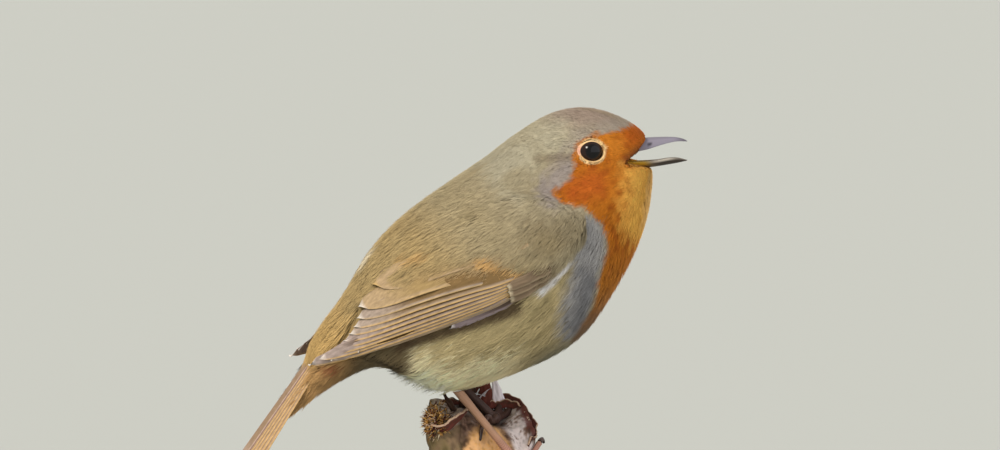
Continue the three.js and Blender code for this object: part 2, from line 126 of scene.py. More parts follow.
bpy.ops.mesh.primitive_plane_add(size=FLOOR_SIDE)
floor = bpy.context.object
floor.name = "floor"
floor.data.materials.append(plain_material("pale_floor", srgb(*FLOOR_LEVELS), FLOOR_ROUGHNESS))

for sun in SUNS:
    bpy.ops.object.light_add(type="SUN")
    light = bpy.context.object
    light.name = sun["name"]
    light.data.energy = sun["strength"]
    light.data.angle = math.radians(sun["softness"])
    light.data.color = [float(c) for c in srgb(*sun["tint"])]
    aim(light, LOOK_AT + direction(math.radians(sun["turn"]), math.radians(sun["rise"])), LOOK_AT)

world = bpy.data.worlds.new("light_tent")
world.use_nodes = True
tent = world.node_tree.nodes["Background"].inputs
tent["Color"].default_value = rgba(srgb(*TENT_COLOUR))
tent["Strength"].default_value = TENT_STRENGTH
bpy.context.scene.world = world
bpy.context.scene.view_settings.view_transform = "Standard"
print("floor", FLOOR_SIDE, "m wide,", len(SUNS), "suns")

# %% [markdown]
# Markings are easiest to place on a bird that looks straight ahead, in millimetres. The model's
# head is turned a little to its right, so two functions go to and fro: `pose` turns a straight
# bird's points to the model's place, and `straighten` takes the model's points back.

# %% Straight-bird coordinates
NECK_FROM = np.array([-8, 76.8])
NECK_TO = np.array([44, 41])
HEAD_TURN = math.radians(12)
TURN_PIVOT = 12
TURN_START, TURN_FULL = -5, 12
UNTURN_STEPS = 4


def ease(value, start, end):
    """0 before start, 1 after end, and smooth between them."""
    t = np.clip((value - start) / (end - start), 0, 1)
    return t * t * (3 - 2 * t)


def mix(a, b, share):
    return a + (b - a) * share


def head_share(points):
    along = (NECK_TO - NECK_FROM) / np.linalg.norm(NECK_TO - NECK_FROM)
    above = (points[:, 2] - NECK_FROM[1]) * along[0] - (points[:, 0] - NECK_FROM[0]) * along[1]
    return ease(above, TURN_START, TURN_FULL)


def spun(points, angle):
    turned = points.copy()
    dx = points[:, 0] - TURN_PIVOT
    turned[:, 0] = TURN_PIVOT + dx * np.cos(angle) - points[:, 1] * np.sin(angle)
    turned[:, 1] = dx * np.sin(angle) + points[:, 1] * np.cos(angle)
    return turned


def pose(points):
    """Straight-bird millimetres to the model's metres."""
    turned = spun(points, -HEAD_TURN * head_share(points))
    turned[:, 2] += LEVEL / MM
    return turned * MM


def straighten(places):
    """The model's metres to straight-bird millimetres."""
    points = np.asarray(places, float) / MM
    points[:, 2] -= LEVEL / MM
    straight = points
    for _ in range(UNTURN_STEPS):
        straight = spun(points, HEAD_TURN * head_share(straight))
    return straight


corner = np.array([[41.0, 0.0, 71.0]])
print("round trip:", np.round(straighten(pose(corner)) - corner, 4))
eye_low, eye_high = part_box("eye_right")
EYE = straighten([tuple((eye_low + eye_high) / 2)])[0][[0, 2]]
EYE_OPENING = EYE + [0.35, 0.2]  # the lids open a little ahead of the ball's middle
print("eye at", np.round(EYE, 2))

# %% [markdown]
# Feathers lie in one flow, from the bill back to the tail. Near the bill they spread from its
# root, and further back they follow a line through the middle of the body. The same line gives
# every point a place along the body and an angle round it, which serves as the skin's unwrap.

# %% The lie of the coat
SPINE = np.array([[44, 72], [33, 72.5], [24, 67], [12, 53],
                  [-4, 40], [-22, 31], [-38, 19], [-52, 6]], float)
SPINE_STEPS = 70
SPINE_REACH = 10.0
CURVE_STEPS = 24
BILL_ROOT = np.array([43.5, 0, 71.5])
FACE_SPREAD = 16, 44  # up to here the feathers fan out from the bill's root
EYE_PARTING, PARTING_PUSH = (3.0, 5.2), 1.25  # and they part round the eye


def along_line(points, steps):
    """A smooth run of places through given points, evenly spread."""
    knots = np.vstack([2 * points[0] - points[1], points, 2 * points[-1] - points[-2]])
    fine = []
    for i in range(1, len(knots) - 2):
        a, b, c, d = knots[i - 1:i + 3]
        for t in np.linspace(0, 1, CURVE_STEPS, endpoint=False):
            fine.append(0.5 * (2 * b + (c - a) * t + (2 * a - 5 * b + 4 * c - d) * t * t
                               + (3 * b - a - 3 * c + d) * t ** 3))
    fine = np.array(fine + [points[-1]])
    gone = np.concatenate([[0], np.cumsum(np.linalg.norm(np.diff(fine, axis=0), axis=1))])
    wanted = np.linspace(0, gone[-1], steps)
    return np.column_stack([np.interp(wanted, gone, fine[:, k]) for k in range(points.shape[1])])


spine = along_line(SPINE, SPINE_STEPS)
spine_way = np.gradient(spine, axis=0)
spine_way /= np.linalg.norm(spine_way, axis=1)[:, None]


def unit(vectors):
    return vectors / np.maximum(np.linalg.norm(vectors, axis=-1, keepdims=True), 1e-9)


def spine_weights(points):
    gap = points[:, None, [0, 2]] - spine[None]
    near = (gap ** 2).sum(2)
    weights = np.exp(-(near - near.min(1)[:, None]) / (2 * SPINE_REACH ** 2))
    return weights / weights.sum(1)[:, None]


def body_place(points):
    """How far along the body, 0 to 1, and the angle round it: 0 above, half a turn below."""
    weights = spine_weights(points)
    along = weights @ np.linspace(0, 1, SPINE_STEPS)
    middle, way = weights @ spine, unit(weights @ spine_way)
    out = points[:, [0, 2]] - middle
    up = out[:, 0] * way[:, 1] - out[:, 1] * way[:, 0]
    return along, np.arctan2(points[:, 1], up)


def lie(points):
    """The way a feather points at each straight-bird place."""
    way = spine_weights(points) @ spine_way
    back = np.column_stack([way[:, 0], np.zeros(len(way)), way[:, 1]])
    outward = points - BILL_ROOT
    far = np.linalg.norm(outward, axis=1)
    share = 1 - ease(far, *FACE_SPREAD)
    flow = unit(mix(unit(back), unit(outward), share[:, None]))
    from_eye = points - [EYE[0], 0, EYE[1]]
    from_eye[:, 1] = 0
    near = 1 - ease(np.linalg.norm(from_eye, axis=1), *EYE_PARTING)
    inward = np.maximum(-(flow * unit(from_eye)).sum(1), 0)
    return unit(flow + unit(from_eye) * (PARTING_PUSH * inward * near)[:, None])


sample = np.array([[30, 10, 70], [38, 5, 55], [0, 20, 45], [-30, 10, 30]], float)
print("lie:", np.round(lie(sample), 2).tolist())

# %% [markdown]
# The markings are painted by distance. A patch is a tapering brush stroke, seen from the side: a
# line with a radius at each end. A larger area has a closed outline. A ripple of noise breaks
# every border up, as feathers do.

# %% Brushes and noise
WAVES, WAVE_SPREAD = 7, (0.6, 1.6)
WAVE_SUM = 3.2  # brings the waves together to about -1 to 1


def ripple(points, size, seed):
    """Smooth noise of about -1 to 1, its waves about size millimetres long."""
    rng = np.random.default_rng(seed)
    total = np.zeros(len(points))
    for _ in range(WAVES):
        way = rng.normal(size=3)
        way *= 2 * np.pi * rng.uniform(*WAVE_SPREAD) / (size * np.linalg.norm(way))
        total += np.sin(points @ way + rng.uniform(0, 2 * np.pi))
    return total / WAVE_SUM


def stroke(points, start, end, start_radius, end_radius):
    """Distance in side view to a tapering brush stroke, under 0 inside it."""
    a, b = np.array(start, float), np.array(end, float)
    reach = points[:, [0, 2]] - a
    along = b - a
    t = np.clip(reach @ along / (along @ along), 0, 1)
    gap = np.linalg.norm(reach - t[:, None] * along, axis=1)
    return gap - (start_radius + (end_radius - start_radius) * t)


def inside(outline, x, z):
    """True inside a closed outline in side view."""
    found = np.zeros(len(x), bool)
    for (ax, az), (bx, bz) in zip(outline, np.roll(outline, -1, axis=0)):
        crosses = (az > z) != (bz > z)
        at = ax + (z - az) / np.where(bz == az, 1e-9, bz - az) * (bx - ax)
        found ^= crosses & (x < at)
    return found


def outline_gap(points, outline):
    """Distance in side view to a closed outline, under 0 inside it."""
    nearest = np.full(len(points), np.inf)
    for a, b in zip(outline, np.roll(outline, -1, axis=0)):
        nearest = np.minimum(nearest, stroke(points, a, b, 0, 0))
    return np.where(inside(outline, points[:, 0], points[:, 2]), -nearest, nearest)


def paint(colour, new, share):
    return mix(colour, srgb(*new), np.clip(share, 0, 1)[:, None])


def ground(points, tone):
    return np.tile(tone, (len(points), 1))


def tinted(colour, tone, share):
    """Colours turned towards a tone by a share at each place."""
    return mix(colour, tone, share[:, None])


def brushed(colour, points, fleck, strokes):
    """Strokes laid one after another: ends, radii, flecks at the border, border, levels, share."""
    for start, end, radii, flecks, border, levels, share in strokes:
        gap = stroke(points, start, end, *radii) + flecks * fleck
        colour = paint(colour, levels, share * (1 - ease(gap, *border)))
    return colour


grid = np.array([[x, 0.0, 60.0] for x in range(0, 60, 6)])
print("ripple from", ripple(grid, 2.4, 3).min().round(2), "to", ripple(grid, 2.4, 3).max().round(2))

# %% [markdown]
# The upper side is olive-brown, greyer on the head and warmer towards the tail. It is laid on as a
# painter would: a ground, bands along the body, and then the strokes of each part, the later ones
# over the earlier.

# %% Paint of the back
BACK_BANDS = [  # from and to along the body, levels
    (0.44, 0.58, (186, 160, 112)),
    (0.66, 0.82, (204, 168, 108)),
    (0.82, 0.94, (228, 180, 114)),
]
HEAD_STROKES = [
    ((34, 80), (20, 83), (4.6, 5.6), 0.5, (-4, 3), (166, 146, 132), 0.9),  # crown
    ((18, 76), (6, 68), (4.0, 6.0), 0.8, (-3, 3), (188, 180, 156), 0.75),  # nape
    ((10, 53), (22, 54), (4.6, 4.2), 1, (-3, 3), (142, 126, 94), 0.6),  # shoulder
]
COVERT_STROKES = [
    ((-2, 44), (-17, 41), (4.0, 3.4), 0.6, (-3.5, 2.5), (176, 144, 102), 0.8),  # coverts
    ((-4.6, 46.8), (4.4, 43.4), (1.1, 1.1), 0.5, (-0.9, 0.9), (220, 172, 108), 0.9),  # buff tips
    ((-21.6, 46.6), (-18, 48.2), (0.8, 0.8), 0.5, (-0.9, 0.9), (220, 172, 108), 0.6),
]
BEND_STROKES = [((4, 40), (12, 44), (2.0, 2.0), 0, (-1, 1.5), (138, 118, 92), 0.5)]
RUMP_HIGHLIGHT = (-26.0, 47.8), (-29.4, 44.6), 0.9, 0.7  # painted highlight along the ridge of the rump


def back_paint(points, fleck, cloud):
    """Olive-brown above: greyer on the head, warmer towards the tail."""
    along, _ = body_place(points)
    colour = ground(points, srgb(180, 163, 127))
    colour = paint(colour, (182, 170, 142), 0.85 * (1 - ease(along, 0.26, 0.44)))
    for start, end, levels in BACK_BANDS:
        colour = paint(colour, levels, ease(along, start, end))
    colour = brushed(colour, points, fleck, HEAD_STROKES)
    clouded = ease(cloud, 0.0, 1.2) * (1 - ease(along, 0.7, 0.8))
    colour = paint(colour, (158, 140, 102), 0.45 * clouded)
    colour = brushed(colour, points, fleck, COVERT_STROKES)
    # Painted highlight: a pale band along the ridge of the rump, where light catches the feathers.
    ridge = ease(points[:, 1], -2.4, 1.2) * (1 - ease(points[:, 1], 2.4, 5.2))
    rump_highlight = 1 - ease(stroke(points, *RUMP_HIGHLIGHT) + 0.5 * fleck, -0.8, 0.8)
    colour = paint(colour, (244, 234, 210), 0.7 * ridge * rump_highlight)
    return brushed(colour, points, fleck, BEND_STROKES)


# %% [markdown]
# Below the wing the flank is buff, streaked darker. The breast's side is grey, the belly runs out
# in cream, and behind the legs the vent is painted deep brown: painted shade under the body.

# %% Paint of the flanks
BELLY_EDGE = np.array([[-50, 9], [-36, 16.8], [-23.4, 20.5], [-10.4, 14.2], [0.4, 15.6],
                       [11.2, 19.4], [20.6, 23.8], [26.8, 29.4], [31.9, 36.8]], float)
BELLY_STROKES = [((-5, 15.5), (-15, 16), (3.0, 2.8), 1, (-2, 2), (255, 238, 190), 0.95)]
FLANK_STROKES = [
    ((4, 36.2), (-22, 27.4), (1.3, 0.9), 0.3, (-0.4, 1.8), (82, 64, 46), 0.9),  # painted shadow under the wing's edge
    ((-39.6, 20.9), (-37.4, 20.6), (0.8, 1.0), 0.4, (-0.6, 0.9), (132, 78, 50), 0.85),  # tail's root
    ((24, 53.5), (19.5, 32), (4.8, 4.4), 0.8, (-2.4, 2.0), (162, 160, 160), 0.95),  # grey side
    ((22.5, 42), (20.5, 31), (2.2, 2.6), 1, (-2, 2), (118, 118, 122), 0.7),  # painted shade on the lower part of the grey side
    ((16.6, 46.2), (10.3, 41.2), (1.5, 2.1), 0.4, (-0.9, 0.7), (250, 246, 244), 0.95),  # pale tuft
]


def flank_paint(points, fleck):
    """Buff flanks with darker streaks, a grey side to the breast and a whitish belly."""
    x, z = points[:, 0], points[:, 2]
    colour = ground(points, srgb(204, 184, 136))
    colour = paint(colour, (176, 158, 114), 0.9 * ease(fleck, -0.2, 0.9))
    low = z - np.interp(x, BELLY_EDGE[:, 0], BELLY_EDGE[:, 1])
    strand = ripple(points * [0.22, 1, 1], 1.0, 41)
    pale = (1 - ease(low + 2.8 * strand, 5.0, 10.5)) * (1 - ease(x, 2, 11))
    colour = paint(colour, (255, 240, 194), 0.95 * pale)
    colour = paint(colour, (112, 112, 98), 0.85 * (1 - ease(low, 0.5, 9)) * ease(x, 5, 15))
    colour = brushed(colour, points, fleck, BELLY_STROKES)
    # Painted shade: behind the legs the underside is painted deep brown.
    colour = paint(colour, (84, 66, 40), 0.92 * ease(-x, 17.6, 21.6))
    colour = paint(colour, (196, 152, 98), 0.8 * ease(-x, 30, 38))
    return brushed(colour, points, fleck, FLANK_STROKES)


# %% [markdown]
# The robin's mark is its orange face and breast. They share one closed outline with a ragged
# border and a grey halo on the head. Inside it the tone changes from part to part, so that the
# patch doesn't look cut from paper. All the paints meet in one function, `plumage`.

# %% Paint of the face, and all together
ORANGE_OUTLINE = np.array([
    [50, 72], [46, 80], [38.4, 79.4], [35.0, 77.6], [31.0, 76.9], [27.0, 76.4], [24.0, 75.3],
    [22.9, 73.4], [22.8, 70.4], [22.2, 67.6], [20.6, 65.8], [17.6, 64.2], [15.8, 62.9], [16.6, 61.2],
    [19.8, 60.3], [23.2, 59.9], [25.8, 57.8], [27.7, 54.8], [28.2, 51.4], [27.2, 46.8], [25.4, 41.2],
    [24.6, 35.6], [22.2, 31.2], [20.2, 27.6], [23, 22], [44, 24], [54, 48]])
WING_EDGE = np.array([
    [-60, 14], [-43.5, 21.4], [-35.2, 23.9], [-29, 26.4], [-20.7, 29.4], [-9.7, 33.6], [-2.6, 36.2],
    [4.7, 38.2], [9.7, 40.2], [15, 44.5], [21.5, 51], [24, 60], [26, 90]], float)
FACE_STROKES = [
    ((27, 65), (21, 63), (3.0, 2.0), 0, (-2, 2.5), (200, 98, 34), 0.75),  # cheek
    ((39, 77.5), (36.5, 76), (1.6, 2.0), 0, (-1, 2), (192, 92, 22), 0.7),  # forehead
    ((29, 75.2), (33, 74), (1.0, 1.6), 0.4, (-1, 2.0), (212, 130, 40), 0.8),  # over the eye
    ((35.2, 70.6), (39.0, 73.2), (0.8, 0.6), 0.3, (-0.6, 1.3), (128, 70, 34), 0.75),  # lore
    ((38.8, 66), (37.5, 54), (3.6, 3.4), 1.2, (-2.2, 3.5), (255, 190, 88), 0.9),  # throat: golden, and painted lighter as painted light
    ((42.6, 66), (41, 54), (1.2, 1.6), 0.5, (-0.8, 1.6), (244, 196, 126), 0.8),  # its front, paler still: painted light
]
EAR_STROKES = [
    ((20, 68.5), (14, 62.5), (2.6, 2.4), 1, (-2, 2.5), (164, 152, 146), 0.85),  # ear coverts
    ((22.6, 71.4), (13.5, 70.6), (0.35, 0.5), 0.3, (-0.2, 1.2), (132, 116, 92), 0.5),  # dark line
]


def face_paint(points, fleck):
    """The orange: deep on the cheek, golden on the throat with painted light on it, browner down the
    breast.
    """
    z = points[:, 2]
    colour = paint(ground(points, srgb(198, 116, 31)), (177, 95, 25), ease(fleck, -0.1, 1.0))
    colour = brushed(colour, points, fleck, FACE_STROKES)
    colour = paint(colour, (192, 124, 46), 0.7 * (1 - ease(z, 36, 54)))
    return paint(colour, (118, 98, 78), 0.9 * (1 - ease(z, 28, 42)))


def plumage(points):
    """The coat's colour, in linear light, at straight-bird places."""
    x, z = points[:, 0], points[:, 2]
    fleck, cloud = ripple(points, 2.4, 3), ripple(points, 11, 4)
    colour = back_paint(points, fleck, cloud)
    edge = z - np.interp(x, WING_EDGE[:, 0], WING_EDGE[:, 1])
    under = (1 - ease(edge + 0.6 * fleck, -1.2, 0.8)) * (1 - ease(z, 60, 66))
    colour = tinted(colour, flank_paint(points, fleck), under)
    gap = outline_gap(points, ORANGE_OUTLINE) + 0.4 * fleck + 0.2 * ripple(points, 1.1, 5)
    halo = (1 - ease(gap, 0.4, 4.5)) * ease(z, 57, 64)
    colour = paint(colour, (170, 158, 144), 0.8 * halo)
    colour = brushed(colour, points, fleck, EAR_STROKES)
    colour = tinted(colour, face_paint(points, fleck), 1 - ease(gap, -0.7, 0.7))
    ring = np.hypot((x - EYE_OPENING[0]) / 1.13, z - EYE_OPENING[1])
    return paint(colour, (250, 212, 154), 0.95 * (1 - ease(ring + 0.15 * fleck, 2.85, 3.35)))


print("cheek", np.round(plumage(np.array([[30.0, 10, 62]])), 3).tolist())

# %% [markdown]
# The flesh of the solids is cut into named lengths, and one skin takes their place. A second
# surface, the hull, takes the wings in too: the long feathers are laid on it later. First come
# the helpers that every piece uses.

# %% Helpers that every piece uses
FLESH = ["head", "neck", "breast", "belly", "rump", "thigh_right", "thigh_left"]
COVERTS = ["wing_coverts_right", "wing_coverts_left"]
SECONDARIES = ["wing_secondaries_right", "wing_secondaries_left"]
PRIMARIES = ["wing_primaries_right", "wing_primaries_left"]


def start_clean():
    if bpy.context.object and bpy.context.object.mode != "OBJECT":
        bpy.ops.object.mode_set(mode="OBJECT")
    bpy.ops.object.select_all(action="DESELECT")


def pick(thing):
    start_clean()
    thing.select_set(True)
    bpy.context.view_layer.objects.active = thing


def edit_whole():
    """Opens the active mesh with all of it selected."""
    bpy.ops.object.mode_set(mode="EDIT")
    bpy.ops.mesh.select_all(action="SELECT")


def copy_of(names, new_name):
    """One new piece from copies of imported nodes, with their corners joined."""
    start_clean()
    for name in names:
        twin = bpy.data.objects.new(name + "_copy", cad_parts[name].data.copy())
        bpy.context.scene.collection.objects.link(twin)
        twin.select_set(True)
        bpy.context.view_layer.objects.active = twin
    if len(names) > 1:
        bpy.ops.object.join()
    piece = bpy.context.object
    piece.name = new_name
    piece.data.name = new_name
    piece.data.materials.clear()
    edit_whole()
    bpy.ops.mesh.remove_doubles(threshold=0.01 * MM)
    bpy.ops.object.mode_set(mode="OBJECT")
    return piece


def modify(piece, kind, **settings):
    """Adds one modifier with its settings and applies it."""
    pick(piece)
    modifier = piece.modifiers.new(kind.title(), kind)
    for key, value in settings.items():
        setattr(modifier, key, value)
    bpy.ops.object.modifier_apply(modifier=modifier.name)


def face_outwards(piece):
    """All of a piece's faces turned to look out of it."""
    pick(piece)
    edit_whole()
    bpy.ops.mesh.normals_make_consistent(inside=False)
    bpy.ops.object.mode_set(mode="OBJECT")


def smooth_shaded(piece):
    pick(piece)
    bpy.ops.object.shade_smooth()
    return piece


def points_of(piece):
    flat = np.empty(len(piece.data.vertices) * 3)
    piece.data.vertices.foreach_get("co", flat)
    return flat.reshape(-1, 3)


def normals_of(piece):
    flat = np.empty(len(piece.data.vertices) * 3)
    piece.data.vertices.foreach_get("normal", flat)
    return flat.reshape(-1, 3)


def put_points(piece, places):
    piece.data.vertices.foreach_set("co", np.asarray(places, np.float32).ravel())
    piece.data.update()


def tree_of(piece):
    piece.data.calc_loop_triangles()
    triangles = [tuple(t.vertices) for t in piece.data.loop_triangles]
    return BVHTree.FromPolygons([tuple(p) for p in points_of(piece)], triangles)


def triangle_count(piece):
    piece.data.calc_loop_triangles()
    return len(piece.data.loop_triangles)


print("flesh solids:", len(FLESH))

# %% [markdown]
# Now copies of the solids are joined. A small swell closes the cuts between them, a voxel remesh
# rebuilds them as one surface, and smoothing takes the steps off. Booleans would join them too,
# but would keep every facet.

# %% One surface from many solids
SEAM_SWELL = 0.35 * MM
SKIN_VOXEL, SKIN_SMOOTHING = 0.55 * MM, 14
HULL_VOXEL, HULL_SMOOTHING = 0.7 * MM, 6
SHELL_END = -27  # the skin keeps the inner wing's shell only in front of this, in millimetres


def short_shells():
    """Copies of the secondaries' shells, cut off where the long feathers run on by themselves."""
    shells = copy_of(SECONDARIES, "shells")
    edit_whole()
    bpy.ops.mesh.bisect(plane_co=(SHELL_END * MM, 0, 0), plane_no=(-1, 0, 0),
                        use_fill=True, clear_outer=True)
    bpy.ops.object.mode_set(mode="OBJECT")
    return shells


def soft_copy(names, new_name, voxel, swell, smoothing, *others):
    """Copies of solids grown until they meet and rebuilt as one smooth surface."""
    piece = copy_of(names, new_name)
    for other in others:
        other.select_set(True)
    if others:
        bpy.ops.object.join()
    modify(piece, "DISPLACE", strength=swell, mid_level=0)
    modify(piece, "REMESH", mode="VOXEL", voxel_size=voxel)
    modify(piece, "SMOOTH", factor=0.5, iterations=smoothing)
    return piece


skin = soft_copy(FLESH + COVERTS, "skin", SKIN_VOXEL, SEAM_SWELL, SKIN_SMOOTHING, short_shells())
hull_parts = FLESH + COVERTS + SECONDARIES + PRIMARIES
hull = soft_copy(hull_parts, "hull", HULL_VOXEL, SEAM_SWELL, HULL_SMOOTHING)
put_points(hull, points_of(hull) - normals_of(hull) * SEAM_SWELL)
hull_tree = tree_of(hull)
print("skin", triangle_count(skin), "triangles, hull", triangle_count(hull))

# %% [markdown]
# The skin is drawn in by the depth of the coat, so that the feathers' tips, and not the skin,
# reach the outline. The coat is thinnest on the face. Above the tail the rump runs out thin and
# flat, so that the tail seems to grow out of it.

# %% Draw the skin in
FACE_DEPTH, HEAD_DEPTH, BODY_DEPTH, RUMP_DEPTH, LID_DEPTH = 0.35, 0.75, 1.5, 0.6, 0.3


def coat_depth(points):
    """Depth of the coat over the skin, in millimetres."""
    x, z = points[:, 0], points[:, 2]
    from_face = np.minimum(np.hypot(x - 36, z - 71) / 13, 1)
    head = mix(FACE_DEPTH, HEAD_DEPTH, ease(from_face, 0.3, 1))
    body = mix(head, BODY_DEPTH, 1 - ease(z + 0.35 * (x - 10), 56, 72))
    body = mix(body, RUMP_DEPTH, ease(-x, 34, 46))
    from_eye = np.hypot(x - EYE[0], z - EYE[1])
    return np.minimum(body, mix(LID_DEPTH, 9, ease(from_eye, 4.0, 12)))


TAIL_ROOT, TAIL_TIP = np.array([-36.2, 28.4]), np.array([-62.6, -7.8])
RUMP_TAPER, RUMP_NARROWING = 1.9, 0.3
TAIL_DOWN = unit(TAIL_TIP - TAIL_ROOT)
TAIL_OVER = np.array([TAIL_DOWN[1], -TAIL_DOWN[0]])


def tail_frame(points):
    """How far down the tail each place is, and how far above its middle line."""
    reach = points[:, [0, 2]] - TAIL_ROOT
    return reach @ TAIL_DOWN, reach @ TAIL_OVER


def thin_rump(places):
    """The rump's upper side laid flatter and narrower where it runs out onto the tail."""
    straight = straighten(places)
    past, above = tail_frame(straight)
    flat = RUMP_TAPER * ease(past, 3, 11) * ease(above, -1.0, 2.0)
    straight[:, [0, 2]] -= flat[:, None] * TAIL_OVER
    straight[:, 1] *= 1 - RUMP_NARROWING * ease(past, 6, 14) * ease(above, -3, 1)
    return pose(straight)


skin_straight = straighten(points_of(skin))
depth = coat_depth(skin_straight)[:, None] * MM
put_points(skin, thin_rump(points_of(skin) - normals_of(skin) * (depth + SEAM_SWELL)))
modify(skin, "SMOOTH", factor=0.5, iterations=3)
print("skin drawn in by", round(depth.min() / MM, 2), "to", round(depth.max() / MM, 2), "mm")

# %% [markdown]
# The ball of the eye sits in a pit, and feathers on the pit's steep wall would turn dark. On the
# bird the cheek runs level up to the lids. So a smooth dome is fitted to the skin round each pit
# and the wall is lifted onto it. A smooth brush in sculpt mode would do much the same, but a fit
# gives both sides of the head the same shape.

# %% Fill the eye sockets
EYE_HALF_WIDE, EYE_HALF_TALL = 2.7, 2.28
SOCKET_RIM, SOCKET_FAR = 1.8, 2.8


def eye_gap(points):
    """Distance in side view beyond the eye's opening, in shares of it: 1 is its rim."""
    across, up = points[:, 0] - EYE_OPENING[0], points[:, 2] - EYE_OPENING[1]
    return np.hypot(across / EYE_HALF_WIDE, up / EYE_HALF_TALL)


def dome_terms(points):
    a, b = points[:, 0] - EYE_OPENING[0], points[:, 2] - EYE_OPENING[1]
    return np.stack([np.ones(len(a)), a, b, a * a, a * b, b * b], 1)


def fill_sockets(places):
    straight = straighten(places)
    gap, height = eye_gap(straight), np.abs(straight[:, 1])
    for side in (-1, 1):
        here = straight[:, 1] * side > 5
        around = here & (gap > SOCKET_RIM) & (gap < SOCKET_FAR)
        dome = np.linalg.lstsq(dome_terms(straight[around]), height[around], rcond=None)[0]
        wall = here & (gap < SOCKET_RIM)
        level = np.maximum(dome_terms(straight[wall]) @ dome, height[wall])
        share = ease(gap[wall], 0.94, 1.08) * (1 - ease(gap[wall], 1.45, SOCKET_RIM))
        lifted = (share * (level - height[wall])).max()
        print("socket lifted by up to", lifted.round(2), "mm")
        straight[wall, 1] = side * mix(height[wall], level, share)
    return pose(straight)


put_points(skin, fill_sockets(points_of(skin)))

# %% [markdown]
# The remesh closes the open mouth a little, so the mouth is cut again. The face ends at a slanting
# line above the gape and another below it. Each skin point beyond that profile is pushed back
# onto it, which leaves the notch of the gape open right through, as in a singing bird.

# %% Open the mouth
FACE_FRONT = np.array([[66.4, 46], [67.2, 42.2], [68.2, 39.8], [69.0, 36.6], [69.3, 34.9],
                       [70.0, 35.1], [70.9, 35.9], [72.2, 37.8], [73.7, 39.2], [74.9, 40.1],
                       [76.0, 41.3], [77.4, 46]])
MOUTH_LINING = srgb(206, 132, 52)


def past_face(points):
    """How far a place stands in front of the face's profile, in millimetres."""
    return points[:, 0] - np.interp(points[:, 2], FACE_FRONT[:, 0], FACE_FRONT[:, 1])


skin_straight = straighten(points_of(skin))
beyond = np.maximum(past_face(skin_straight), 0)
pushed = skin_straight - beyond[:, None] * [1, 0, 0]
put_points(skin, np.where(beyond[:, None] > 0, pose(pushed), points_of(skin)))
skin_tree = tree_of(skin)
print("pushed back", int((beyond > 0).sum()), "points, by up to", beyond.max().round(2), "mm")

# %% [markdown]
# Skin and coat share one kind of material: a rough, soft surface whose colour is read from an
# attribute that the markings were painted into. A colour kept in the mesh stays on the feather
# when the model is exported. Bump comes from noise on the object's own coordinates, which stays
# put when the view changes.

# %% Materials from painted colours
def painted_material(name, roughness, sheen=0.0, specular=0.35, **sockets):
    """A material that shows the piece's own painted colours."""
    material = bpy.data.materials.new(name)
    material.use_nodes = True
    nodes, links = material.node_tree.nodes, material.node_tree.links
    shader = nodes["Principled BSDF"]
    paint_node = nodes.new("ShaderNodeAttribute")
    paint_node.attribute_name = "paint"
    links.new(paint_node.outputs["Color"], shader.inputs["Base Color"])
    shader.inputs["Roughness"].default_value = roughness
    shader.inputs["Sheen Weight"].default_value = sheen
    shader.inputs["Sheen Roughness"].default_value = 0.5
    shader.inputs["Specular IOR Level"].default_value = specular
    for key, value in sockets.items():
        shader.inputs[key.replace("_", " ")].default_value = value
    return material


def paint_on(piece, colours):
    layer = piece.data.color_attributes.new("paint", "FLOAT_COLOR", "POINT")
    full = np.ones((len(colours), 4), np.float32)
    full[:, :3] = np.clip(colours, 0, 1)
    layer.data.foreach_set("color", full.ravel())


def add_relief(material, height_socket, strength, distance):
    """Bump from a node's output, wired into the material's normal."""
    nodes, links = material.node_tree.nodes, material.node_tree.links
    bump = nodes.new("ShaderNodeBump")
    bump.inputs["Strength"].default_value = strength
    bump.inputs["Distance"].default_value = distance
    links.new(height_socket, bump.inputs["Height"])
    links.new(bump.outputs["Normal"], nodes["Principled BSDF"].inputs["Normal"])


def object_noise(material, scale, detail=4.0, stretch=(1, 1, 1), slope=0.0):
    """Noise fixed to the object's own coordinates, its x axis turned up by a slope in degrees."""
    nodes, links = material.node_tree.nodes, material.node_tree.links
    coordinates = nodes.new("ShaderNodeTexCoord")
    mapping = nodes.new("ShaderNodeMapping")
    mapping.vector_type = "TEXTURE"
    mapping.inputs["Rotation"].default_value = (0, -math.radians(slope), 0)
    mapping.inputs["Scale"].default_value = [1 / share for share in stretch]
    noise = nodes.new("ShaderNodeTexNoise")
    noise.inputs["Scale"].default_value = scale
    noise.inputs["Detail"].default_value = detail
    links.new(coordinates.outputs["Object"], mapping.inputs["Vector"])
    links.new(mapping.outputs["Vector"], noise.inputs["Vector"])
    return noise


def add_streaks(material, share_socket, darkest, lightest):
    """The paint made darker and lighter by a node's output."""
    nodes, links = material.node_tree.nodes, material.node_tree.links
    span, blend = nodes.new("ShaderNodeMapRange"), nodes.new("ShaderNodeMix")
    span.inputs["From Min"].default_value, span.inputs["From Max"].default_value = 0.3, 0.7
    span.inputs["To Min"].default_value, span.inputs["To Max"].default_value = darkest, lightest
    blend.data_type, blend.blend_type = "RGBA", "MULTIPLY"
    blend.inputs["Factor"].default_value = 1.0
    shader = nodes["Principled BSDF"]
    links.new(share_socket, span.inputs["Value"])
    links.new(shader.inputs["Base Color"].links[0].from_socket, blend.inputs["A"])
    links.new(span.outputs["Result"], blend.inputs["B"])
    links.new(blend.outputs["Result"], shader.inputs["Base Color"])


def many(function, points, size=20000):
    """A costly function over many points, a block at a time."""
    return np.concatenate([function(points[i:i + size]) for i in range(0, len(points), size)])


# %% [markdown]
# The skin takes the same markings as the coat, but darker, because the down under the feathers
# lies in their shade. Where it turns into the mouth it is painted as flesh. A last helper finishes
# each piece: its material, the body that it moves with, and the packed nodes that it stands for.

# %% Paint the skin
SKIN_SHADE = 0.72  # the down under the coat is darker than its tips


